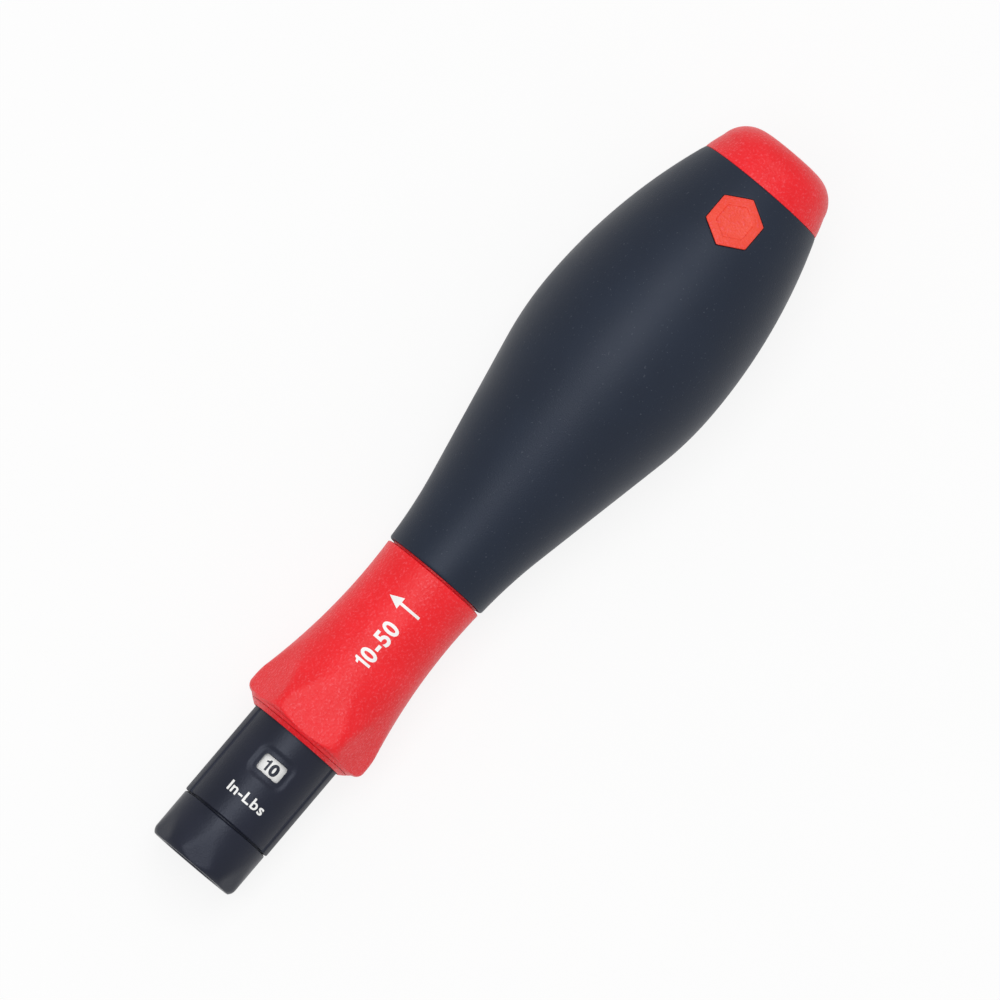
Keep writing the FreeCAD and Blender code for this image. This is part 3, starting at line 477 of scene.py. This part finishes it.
# ---------------------------------------------------------------- nose cap

CAP_FRONT, CAP_REAR, BARREL_RADIUS = extent("nose_cap")
NOSE_FLAT = 6.68
NOSE_FACE = 6.7
NOSE_OPENING = 4.55
CAP_BORE = 6.65
CAP_WALL = 1.8
SEAM_SHARE = 0.2
NOSE_SLOPE = math.tan(math.radians(8.3))


def nose_form(x, radius, angle):
    """Six flats ground on the nose, which run out at the barrel's radius."""
    flat = hexagon_reach(NOSE_FLAT + (x - CAP_FRONT) * NOSE_SLOPE, angle)
    return soft_least(radius, flat, 0.22) if radius > 6.0 else radius


def nose_cap():
    front, rear, barrel = CAP_FRONT, CAP_REAR + SEAM_SHARE, BARREL_RADIUS
    side = [(front + 1.2 + 0.12 * k, barrel) for k in range(30)]
    outside = [(front, NOSE_OPENING + 0.4), (front, 5.8), (front, NOSE_FACE)]
    outside += arc((front, NOSE_FACE), (front + 1.1, barrel), 1.5, 1, 9) + side
    outside += [(rear - 0.9, barrel), (rear - 0.2, barrel), (rear, barrel - 0.2)]
    inside = [(rear, CAP_BORE), (front + CAP_WALL, CAP_BORE)]
    inside += [(front + CAP_WALL, NOSE_OPENING), (front + 0.4, NOSE_OPENING)]
    section = soften(outside + inside, 0.09)
    make_piece(
        "nose_cap_skin",
        turned(section, even_angles(192), nose_form),
        MATERIALS["black_barrel"],
        "handle",
        ("nose_cap",),
    )


# ---------------------------------------------------------------- scale housing

HOUSING_FRONT, HOUSING_REAR, _ = extent("scale_housing")
_, _, STRIP_RADIUS = extent("number_strip")
WINDOW_PLACE = 17.4
WINDOW_LENGTH, WINDOW_WIDTH = 2.63, 3.9
DIMPLE_DEPTH = 0.28
BORE = 6.2
SPIGOT_RADIUS, SPIGOT_BORE = 6.6, 5.02
TUBE_RADIUS, TUBE_FRONT = 6.9, 38.0
SLOT_EDGE_WORN = 0.08
SLOT_HALF = 3.15
SLOT_FRONT, SLOT_END = 7.7, 36.35


dimple_gap = rounded_box_gap(2.75, 3.4, 1.7)


def dimple(x, y):
    """Depth of the scooped recess around the window."""
    return DIMPLE_DEPTH * smooth(-dimple_gap(x - WINDOW_PLACE, y) / 1.0)


def housing_angles(radius):
    """Column angles at a radius; the slots' walls stay level at every radius."""
    edge = math.acos(SLOT_HALF / radius)
    arch = [-1, -0.99] + [0.04 * k for k in range(-24, 25)] + [0.99, 1]
    cheek = [k / 20 for k in range(1, 20)]
    top = [edge * k for k in arch]
    right = [edge + (math.pi - 2 * edge) * k for k in cheek]
    foot = [math.pi + edge * k for k in arch]
    left = [math.pi + edge + (math.pi - 2 * edge) * k for k in cheek]
    return top + right + foot + left


def scale_housing():
    bm = bmesh.new()
    barrel = BARREL_RADIUS
    arch, cheek = 53, 19
    count = 2 * (arch + cheek)
    edges = (0, arch - 1, arch + cheek, 2 * arch + cheek - 1)
    open_columns = set(range(arch - 1, arch + cheek)) | set(range(2 * arch + cheek - 1, count))
    window_rows = [WINDOW_PLACE - 3.2 + 0.32 * k for k in range(21)]
    shell = [SLOT_FRONT + 0.2, SLOT_FRONT + 0.45, 11.0] + window_rows + [24.0, SLOT_END]

    def loop(x, radius, worn=0.0):
        places = housing_angles(radius)
        row = []
        for k, angle in enumerate(places):
            r = radius
            if worn and k in edges:
                r = radius - worn
                angle = housing_angles(r)[k]
            row.append(bm.verts.new((x, r * math.sin(angle), r * math.cos(angle))))
        return row

    def skin(rows, start, end, gone=()):
        for a, b in zip(rows[start:end], rows[start + 1 : end + 1]):
            bridge(bm, a, b, gone)

    nose = [(HOUSING_FRONT, SPIGOT_BORE), (HOUSING_FRONT, SPIGOT_RADIUS - 0.1)]
    nose += [(HOUSING_FRONT + 0.1, SPIGOT_RADIUS), (SLOT_FRONT, SPIGOT_RADIUS)]
    nose = [loop(x, r) for x, r in nose]
    lip = loop(SLOT_FRONT, barrel - 0.2, SLOT_EDGE_WORN)
    outer = [loop(x, barrel, SLOT_EDGE_WORN) for x in shell]
    inner = [loop(x, BORE) for x in [SLOT_FRONT] + shell]
    throat = [loop(SLOT_FRONT - 0.25, BORE), loop(SLOT_FRONT - 0.25, SPIGOT_BORE)]
    tail = [(SLOT_END + 0.5, barrel), (TUBE_FRONT - 0.2, barrel), (TUBE_FRONT, barrel - 0.2)]
    tail += [(TUBE_FRONT, TUBE_RADIUS), (HOUSING_REAR - 0.2, TUBE_RADIUS)]
    tail += [(HOUSING_REAR, TUBE_RADIUS - 0.2), (HOUSING_REAR, BORE)]
    tail = [loop(x, r) for x, r in tail]

    skin(nose, 0, 3)
    bridge(bm, nose[3], lip, open_columns)
    bridge(bm, lip, outer[0], open_columns)
    first, last = shell.index(window_rows[0]), shell.index(window_rows[-1])
    left, right = arch // 2 - 12, arch // 2 + 12
    hole = set(range(left, right))
    for rows, shift in ((outer, 0), (inner, 1)):
        for k in range(len(rows) - 1):
            inside = first + shift <= k < last + shift
            bridge(bm, rows[k], rows[k + 1], open_columns | hole if inside else open_columns)
    bridge(bm, outer[-1], tail[0])
    skin(tail, 0, len(tail) - 1)
    bridge(bm, tail[-1], inner[-1])
    bridge(bm, inner[0], throat[0])
    bridge(bm, throat[0], throat[1])
    bridge(bm, throat[1], nose[0])

    kept = set(range(count)) - open_columns
    bridge(bm, nose[3], inner[0], kept)
    bridge(bm, outer[-1], inner[-1], kept)
    for k in edges:
        bm.faces.new((inner[0][k], nose[3][k], lip[k], outer[0][k], inner[1][k]))
        for a in range(len(outer) - 1):
            bm.faces.new((outer[a][k], outer[a + 1][k], inner[a + 2][k], inner[a + 1][k]))

    pierce(
        bm,
        border(outer, first, last, left, right),
        border(inner, first + 1, last + 1, left, right),
        WINDOW_PLACE,
        rounded_box_gap(WINDOW_LENGTH / 2, WINDOW_WIDTH / 2, 0.45),
        lambda x, y: math.sqrt((barrel - dimple(x, y)) ** 2 - y * y),
        lambda x, y: math.sqrt(BORE**2 - y * y),
        16,
        0.09,
    )
    make_piece(
        "scale_housing_skin",
        bm,
        MATERIALS["black_barrel"],
        "handle",
        ("scale_housing",),
    )


# ---------------------------------------------------------------- scale carrier

CARRIER_FRONT, CARRIER_REAR, RAIL_RADIUS = extent("scale_carrier")
RAIL_HALF = 3.05
CARRIER_RADIUS, CARRIER_BORE = 5.85, 5.25


def carrier_outline():
    """Points (y, z) round the carrier: a tube with a broad rail on each side."""
    edge, foot = math.acos(RAIL_HALF / RAIL_RADIUS), math.acos(RAIL_HALF / CARRIER_RADIUS)
    quarter = [(CARRIER_RADIUS, foot * k / 14) for k in range(15)]
    quarter = [(r * math.sin(v), r * math.cos(v)) for r, v in quarter]
    tip = RAIL_RADIUS * math.sin(edge)
    quarter += [(tip - 0.2, RAIL_HALF), (tip - 0.12, RAIL_HALF - 0.012)]
    quarter += [(tip - 0.03, RAIL_HALF - 0.06), (tip + 0.04, RAIL_HALF - 0.16)]
    start = edge + math.radians(2.2)
    for k in range(9):
        angle = start + (math.pi / 2 - start) * k / 8
        quarter.append((RAIL_RADIUS * math.sin(angle), RAIL_RADIUS * math.cos(angle)))
    right = quarter + [(y, -z) for y, z in reversed(quarter[:-1])]
    return right + [(-y, z) for y, z in reversed(right[1:-1])]


def scale_carrier():
    bm = bmesh.new()
    outline = carrier_outline()

    def loop(x, inset=0.0, radius=None):
        row = []
        for y, z in outline:
            reach = math.hypot(y, z)
            scale = (radius or reach - (inset if reach > CARRIER_RADIUS + 0.1 else 0)) / reach
            row.append(bm.verts.new((x, y * scale, z * scale)))
        return row

    rear = CARRIER_REAR - 1.0
    front = CARRIER_FRONT + 0.2
    rows = [loop(front, 0.14), loop(front + 0.05, 0.05), loop(front + 0.14)]
    rows += [loop(rear - 0.15), loop(rear, 0.15), loop(rear + 0.01, 0, CARRIER_RADIUS)]
    rows += [loop(CARRIER_REAR, 0, CARRIER_RADIUS), loop(CARRIER_REAR, 0, CARRIER_BORE)]
    rows += [loop(front, 0, CARRIER_BORE)]
    for a, b in zip(rows, rows[1:] + rows[:1]):
        bridge(bm, a, b)
    make_piece(
        "carrier_skin",
        bm,
        MATERIALS["black_plastic"],
        "scale",
        ("scale_carrier",),
    )


# ---------------------------------------------------------------- collar

COLLAR_FRONT, COLLAR_REAR, _ = extent("collar")
COLLAR_FLAT = 9.2
COLLAR_LINE = [(COLLAR_FRONT, 8.7), (COLLAR_FRONT + 0.45, 9.2)]
COLLAR_LINE += arc((COLLAR_FRONT + 0.45, 9.2), (COLLAR_FRONT + 1.9, 10.32), 1.35, 1, 12)
COLLAR_LINE += arc((COLLAR_FRONT + 1.9, 10.32), (COLLAR_FRONT + 4.4, 10.17), 14.0, 1, 14)
COLLAR_LINE += arc((COLLAR_FRONT + 4.4, 10.17), (COLLAR_REAR, 8.222), 88.0, -1, 110)


def collar_form(x, radius, angle):
    """Six flats that run out in the waist."""
    if radius < 8.15:
        return radius
    return soft_least(radius, hexagon_reach(COLLAR_FLAT, angle), 0.30)


def collar():
    front, rear = COLLAR_FRONT, COLLAR_REAR
    outside = COLLAR_LINE[:-1] + [(rear - 0.16, 8.23), (rear, 8.06)]
    inside = [(rear, 6.95), (38.0, 6.95), (38.0, 7.62), (front + 2.0, 7.62)]
    inside += [(front + 2.0, 8.1), (front, 8.1)]
    section = soften(outside + inside, 0.14)
    make_piece(
        "collar_skin",
        turned(section, even_angles(240), collar_form),
        MATERIALS["red_plastic"],
        "handle",
        ("collar",),
    )


# ---------------------------------------------------------------- grip

GRIP_FRONT, GRIP_REAR, BELLY = extent("soft_grip")
BADGE_PLACE = GRIP_REAR - 6.4
GRIP_LINE = [(GRIP_FRONT + 0.3, 8.36)]
NECK_END, NECK_RADIUS = 64.65, 9.848
FLANK_LENGTH, FLANK_RISE = 20.78, 4.232
BELLY_PLACE = 95.8
GRIP_LINE += arc(GRIP_LINE[-1], (NECK_END, NECK_RADIUS), 76.0, -1, 30)
GRIP_LINE += [
    (NECK_END + FLANK_LENGTH * k / 24, NECK_RADIUS + FLANK_RISE * k / 24) for k in range(1, 25)
]
GRIP_LINE += arc(GRIP_LINE[-1], (BELLY_PLACE, BELLY), 52.0, 1, 40)
GRIP_LINE += arc(GRIP_LINE[-1], (GRIP_REAR, 10.08), 82.0, 1, 80)
GRIP_INSIDE = [(GRIP_FRONT, 7.55), (60.0, 7.55), (90.8, 13.07), (100.8, 13.07), (GRIP_REAR, 8.03)]


def grip_form(x, radius, angle):
    """A hair-thin moulding line runs along each side."""
    if radius < 8.3 or x > GRIP_REAR - 0.4:
        return radius
    off = (abs(angle - math.pi) - math.pi / 2) * radius
    return radius + 0.03 * math.exp(-((off / 0.14) ** 2))


def grip_angles():
    """Even columns, with close ones at the two moulding lines."""
    near = [90 + k for k in (-1.4, -0.9, -0.5, -0.2, 0, 0.2, 0.5, 0.9, 1.4)]
    plain = [2 * k for k in range(180) if abs(abs(2 * k - 180) - 90) > 1.5]
    angles = sorted(plain + near + [360 - v for v in near])
    return [math.radians(v) for v in angles if v < 360]


def soft_grip():
    bm = bmesh.new()
    angles = grip_angles()
    columns = len(angles)
    half = 12
    front_rows = [GRIP_FRONT + 0.3, GRIP_FRONT + 0.7] + [54.5 + k for k in range(58)]
    patch_rows = [BADGE_PLACE - 5.0 + 0.5 * k for k in range(21)]
    back_rows = [GRIP_REAR - 1.0, GRIP_REAR - 0.6, GRIP_REAR - 0.3, GRIP_REAR - 0.12]
    rows = [x for x in front_rows if x < patch_rows[0] - 0.4] + patch_rows + back_rows
    outside = [(GRIP_FRONT, 8.06), (GRIP_FRONT + 0.02, 8.16), (GRIP_FRONT + 0.09, 8.27)]
    outside += [(x, level(GRIP_LINE, x)) for x in rows]
    outside += [(GRIP_REAR, 10.0)]
    inner_rows = [GRIP_FRONT, 60.0, 90.8, 100.8] + patch_rows + [GRIP_REAR]
    outer = [ring(bm, x, r, angles, grip_form) for x, r in outside]
    inner = [ring(bm, x, level(GRIP_INSIDE, x), angles) for x in inner_rows]
    turn = columns - half
    for loops in (outer, inner):
        loops[:] = [row[turn:] + row[:turn] for row in loops]
    start_outer = 3 + rows.index(patch_rows[0])
    start_inner = 4
    span = len(patch_rows) - 1
    hole = set(range(0, 2 * half))
    for loops, start in ((outer, start_outer), (inner, start_inner)):
        for k in range(len(loops) - 1):
            bridge(bm, loops[k], loops[k + 1], hole if start <= k < start + span else ())
    bridge(bm, outer[0], inner[0])
    bridge(bm, outer[-1], inner[-1])
    pierce(
        bm,
        border(outer, start_outer, start_outer + span, 0, 2 * half),
        border(inner, start_inner, start_inner + span, 0, 2 * half),
        BADGE_PLACE,
        hexagon_gap(3.65, 0.25),
        lambda x, y: math.sqrt(level(GRIP_LINE, x) ** 2 - y * y),
        lambda x, y: math.sqrt(level(GRIP_INSIDE, x) ** 2 - y * y),
        6,
        0.14,
    )
    make_piece(
        "grip_skin", bm, MATERIALS["soft_black"], "handle", ("soft_grip",)
    )


# ---------------------------------------------------------------- core, dome and badge

CORE_FRONT, CORE_REAR, _ = extent("grip_core")


def grip_core():
    rear = CORE_REAR
    bore = [(116.0, 0), (116.0, 4.0), (77.6, 4.0), (77.6, 6.95), (CORE_FRONT, 6.95)]
    skin = [(CORE_FRONT, 7.5), (60.0, 7.5), (90.8, 13.02), (100.8, 13.02), (GRIP_REAR, 7.98)]
    dome = [(GRIP_REAR, 9.95), (GRIP_REAR + 0.03, 10.04), (GRIP_REAR + 0.12, 10.06)]
    dome += [(GRIP_REAR + 2.9 * k / 8, 10.08 - 0.85 * (k / 8) ** 1.25) for k in range(1, 9)]
    start = dome[-1]
    dome += arc(start, (rear, 4.7), 4.8, 1, 22)
    dome += [(rear, 4.2), (rear, 2.4), (rear, 0)]
    section = bore + skin + dome
    make_piece(
        "core_shell",
        turned(soften(section, 0.12, False), even_angles(180), closed=False),
        MATERIALS["red_plastic"],
        "handle",
        ("grip_core",),
    )


def badge():
    """The hexagonal boss that fills the grip's opening, with a hexagonal dish."""
    bm = bmesh.new()
    count = 96
    boss, dish = hexagon_gap(3.6, 0.25), hexagon_gap(2.35, 0.2)
    rays = [(8 * math.cos(v), 8 * math.sin(v)) for v in even_angles(count)]
    slope = (level(GRIP_LINE, BADGE_PLACE + 2) - level(GRIP_LINE, BADGE_PLACE - 2)) / 4
    top = level(GRIP_LINE, BADGE_PLACE) + 0.2

    def over(x, y):
        return math.sqrt((level(GRIP_LINE, BADGE_PLACE + x) + 0.17) ** 2 - y * y)

    def floor(x, y):
        return top - 0.25 + slope * x

    loops = []
    for wanted, height in ((0, -4.0), (0, -0.14), (-0.02, -0.06), (-0.06, -0.02), (-0.14, 0)):
        loops.append((boss, wanted, over, height))
    for wanted in (-0.4, -0.7, -1.0):
        loops.append((boss, wanted, over, 0))
    for wanted, height in ((0.08, 0), (0.03, -0.012), (0.0, -0.04)):
        loops.append((dish, wanted, over, height))
    for wanted, height in ((-0.04, 0.05), (-0.08, 0.015), (-0.14, 0), (-0.9, 0), (-1.7, 0)):
        loops.append((dish, wanted, floor, height))
    rows = []
    for gap, wanted, surface, height in loops:
        row = []
        for dx, dy in rays:
            x, y = out_to(gap, wanted, dx, dy)
            z = top - 4.0 if height <= -4 else surface(x, y) + height
            row.append(bm.verts.new((BADGE_PLACE + x, y, z)))
        rows.append(row)
    for a, b in zip(rows, rows[1:]):
        bridge(bm, a, b)
    crown = bm.verts.new((BADGE_PLACE, 0, floor(0, 0)))
    bridge(bm, rows[-1], [crown])
    foot = bm.verts.new((BADGE_PLACE, 0, top - 4.0))
    bridge(bm, rows[0], [foot])
    make_piece("badge", bm, BADGE_RED, "handle")


# ---------------------------------------------------------------- prints


ONE = [(0.19, 0), (0.37, 0), (0.37, 1), (0.23, 1), (0.17, 0.87), (0, 0.8), (0, 0.66), (0.19, 0.71)]


def glyph(letter, weight):
    """One letter in Blender's own font; a one has a drawn outline with a flag."""
    bm = bmesh.new()
    if letter == "1":
        bm.faces.new([bm.verts.new((x * CAPITAL, y * CAPITAL, 0)) for x, y in ONE])
        return bm
    data = bpy.data.curves.new("letter", "FONT")
    data.body = letter
    data.offset = weight
    data.resolution_u = 5
    item = bpy.data.objects.new("letter", data)
    bpy.context.scene.collection.objects.link(item)
    now = bpy.context.evaluated_depsgraph_get()
    mesh = bpy.data.meshes.new_from_object(item.evaluated_get(now))
    bm.from_mesh(mesh)
    bpy.data.objects.remove(item)
    bpy.data.curves.remove(data)
    bpy.data.meshes.remove(mesh)
    return bm


CAPITAL = 0.73


def flat_words(words, height, weight, spacing=0.1):
    """A flat bmesh of words, its middle at the origin; height is that of a capital."""
    whole = bmesh.new()
    pen = 0.0
    for letter in words:
        bm = glyph(letter, weight)
        low = min(v.co.x for v in bm.verts)
        places = {v: whole.verts.new((v.co.x - low + pen, v.co.y, 0)) for v in bm.verts}
        for face in bm.faces:
            whole.faces.new([places[v] for v in face.verts])
        pen = max(v.co.x for v in places.values()) + spacing
        bm.free()
    scale = height / CAPITAL
    for v in whole.verts:
        v.co.x = (v.co.x - (pen - spacing) / 2) * scale
        v.co.y = (v.co.y - CAPITAL / 2) * scale
    return whole


def flat_arrow(length, head, width, shaft):
    """A flat bmesh of an arrow that points along Y."""
    bm = bmesh.new()
    top, neck = length / 2, length / 2 - head
    outline = [
        (-shaft / 2, -top),
        (shaft / 2, -top),
        (shaft / 2, neck),
        (width / 2, neck),
        (0, top),
        (-width / 2, neck),
        (-shaft / 2, neck),
    ]
    bm.faces.new([bm.verts.new((x, y, 0)) for x, y in outline])
    return bm


def print_on(name, bm, place, line, across, material, body, slot, stretch=1.0, aside=0.0):
    """Wraps a flat print round the tool at place, and gives it the thickness of ink.

    across prints read towards -Y with their tops to the rear; the others read to the rear.
    """
    wrapped = Vector((1, 0, 0)) if across else Vector((0, 1, 0))
    for k in range(-24, 25):
        every = list(bm.verts) + list(bm.edges) + list(bm.faces)
        bmesh.ops.bisect_plane(bm, geom=every, plane_co=wrapped * k * 0.15, plane_no=wrapped)
    for v in bm.verts:
        x, s = (v.co.y, -v.co.x * stretch) if across else (v.co.x * stretch, v.co.y)
        radius = level(line, place + x) + 0.018
        angle = (s + aside) / radius
        v.co = (place + x, radius * math.sin(angle), radius * math.cos(angle))
    for face in bm.faces:
        if face.normal.z < 0:
            face.normal_flip()
    mesh = bpy.data.meshes.new(name)
    bm.normal_update()
    bm.to_mesh(mesh)
    bm.free()
    mesh.transform(LAY)
    mesh.materials.append(material)
    item = bpy.data.objects.new(name, mesh)
    bpy.context.scene.collection.objects.link(item)
    ink = item.modifiers.new("ink", "SOLIDIFY")
    ink.thickness = 0.04 * MM
    ink.offset = 0
    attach(item, body)


def prints():
    strip = [(0, STRIP_RADIUS), (60, STRIP_RADIUS)]
    barrel = [(0, BARREL_RADIUS), (60, BARREL_RADIUS)]
    ink = (PRINT_BLACK, "scale", "black_plastic")
    white = (PRINT_WHITE, "handle", "white_strip")
    for step in range(5):
        number = 10 * (step + 1)
        words = flat_words(str(number), 1.72, 0.045)
        place = WINDOW_PLACE - 2.1 * step
        print_on(f"scale_{number}", words, place, strip, True, *ink, 1.1)
    print_on("unit_print", flat_words("In-Lbs", 1.62, 0.02), 12.0, barrel, True, *white, 1.12)
    print_on("range_print", flat_words("10-50", 2.6, 0.03), 40.1, COLLAR_LINE, False, *white, 0.86)
    arrow = flat_arrow(5.5, 2.1, 1.85, 0.42)
    print_on("arrow_print", arrow, 46.7, COLLAR_LINE, False, *white, 1.0, 0.5)


nose_cap()
scale_housing()
scale_carrier()
collar()
soft_grip()
grip_core()
badge()
prints()

# ---------------------------------------------------------------- floor, light and camera

AXIS_ANGLE = math.radians(49.7)
LEAN = math.radians(2.83)
SHIFT_RIGHT = 1.15
SHIFT_UP = 1.25
FRAME_WIDTH = 140.8 * MM
DISTANCE = 2.6
FLOOR_SIZE = 3.0
FLOOR_SHARE = 0.85
SOFT_STRENGTH = 0.5
KEY_PLACE = (0.0, 0.16, 1.2)
KEY_SIZE = (1.4, 0.62)
KEY_WATTS = 8.6


low, high = cad_box
centre = (low + high) / 2


def white_where_seen(tree, shader_socket, output, share, kind):
    """Camera, glossy and see-through rays find plain white, or that share of it."""
    path = tree.nodes.new("ShaderNodeLightPath")
    most = tree.nodes.new("ShaderNodeMath")
    most.operation = "MAXIMUM"
    also = tree.nodes.new("ShaderNodeMath")
    also.operation = "MAXIMUM"
    tree.links.new(path.outputs["Is Camera Ray"], most.inputs[0])
    tree.links.new(path.outputs["Is Glossy Ray"], most.inputs[1])
    tree.links.new(most.outputs[0], also.inputs[0])
    tree.links.new(path.outputs["Is Transmission Ray"], also.inputs[1])
    part = tree.nodes.new("ShaderNodeMath")
    part.operation = "MULTIPLY"
    part.inputs[1].default_value = share
    tree.links.new(also.outputs[0], part.inputs[0])
    plain = tree.nodes.new(kind)
    plain.inputs["Color"].default_value = (1, 1, 1, 1)
    plain.inputs["Strength"].default_value = 1.0
    mix = tree.nodes.new("ShaderNodeMixShader")
    tree.links.new(part.outputs[0], mix.inputs["Fac"])
    tree.links.new(shader_socket, mix.inputs[1])
    tree.links.new(plain.outputs[0], mix.inputs[2])
    tree.links.new(mix.outputs[0], output)


def make_world():
    world = bpy.data.worlds.new("studio")
    bpy.context.scene.world = world
    world.use_nodes = True
    tree = world.node_tree
    soft = tree.nodes["Background"]
    soft.inputs["Color"].default_value = (1, 1, 1, 1)
    soft.inputs["Strength"].default_value = SOFT_STRENGTH
    surface = tree.nodes["World Output"].inputs["Surface"]
    white_where_seen(tree, soft.outputs[0], surface, 1.0, "ShaderNodeBackground")


def make_floor():
    mesh = bpy.data.meshes.new("floor")
    half = FLOOR_SIZE / 2
    corners = [(-half, -half, 0), (half, -half, 0), (half, half, 0), (-half, half, 0)]
    mesh.from_pydata(corners, [], [(0, 1, 2, 3)])
    floor = bpy.data.objects.new("floor", mesh)
    bpy.context.scene.collection.objects.link(floor)
    n = Nodes("floor_white")
    spread = n.noise(40.0, 2.0)
    colour = n.blend(n.ramp(spread, 0.3, 0.7), (0.90, 0.90, 0.90), (0.93, 0.93, 0.93))
    n.paint(colour, None, None, Roughness=0.9, Specular_IOR_Level=0.1)
    surface = n.tree.nodes["Material Output"].inputs["Surface"]
    white_where_seen(n.tree, n.shader.outputs[0], surface, FLOOR_SHARE, "ShaderNodeEmission")
    mesh.materials.append(n.material)


def make_lamp(name, place, size, watts):
    """A soft box over the tool; its long side lies along X."""
    lamp = bpy.data.lights.new(name, "AREA")
    lamp.shape = "RECTANGLE"
    lamp.size = size[0]
    lamp.size_y = size[1]
    lamp.energy = watts
    item = bpy.data.objects.new(name, lamp)
    back = (Vector(place) - centre).normalized()
    along = (Vector((1, 0, 0)) - back * back.x).normalized()
    across = back.cross(along)
    turn = Matrix((along, across, back)).transposed().to_4x4()
    item.matrix_world = Matrix.Translation(place) @ turn
    item.visible_camera = False
    bpy.context.scene.collection.objects.link(item)


def make_camera():
    """Over the tool, leaning towards its nose, and rolled so that the axis climbs."""
    back = UP * math.cos(LEAN) - AXIS * math.sin(LEAN)
    camera = bpy.data.cameras.new("camera")
    camera.sensor_width = 36.0
    camera.lens = camera.sensor_width / 2 / (FRAME_WIDTH / 2 / DISTANCE)
    camera.clip_start = 0.1
    camera.clip_end = 20.0
    item = bpy.data.objects.new("camera", camera)
    bpy.context.scene.collection.objects.link(item)
    bpy.context.scene.camera = item
    along = (AXIS - back * AXIS.dot(back)).normalized()
    across = back.cross(along)
    right = along * math.cos(AXIS_ANGLE) - across * math.sin(AXIS_ANGLE)
    up = along * math.sin(AXIS_ANGLE) + across * math.cos(AXIS_ANGLE)
    middle = LAY @ Vector((65.5, 0, 0))
    shown = middle + right * SHIFT_RIGHT * MM + up * SHIFT_UP * MM
    place = shown + back * DISTANCE
    item.matrix_world = Matrix(
        (
            (right.x, up.x, back.x, place.x),
            (right.y, up.y, back.y, place.y),
            (right.z, up.z, back.z, place.z),
            (0, 0, 0, 1),
        )
    )


make_world()
make_floor()
make_lamp("key", KEY_PLACE, KEY_SIZE, KEY_WATTS)
make_camera()
bpy.context.scene.view_settings.view_transform = "Standard"
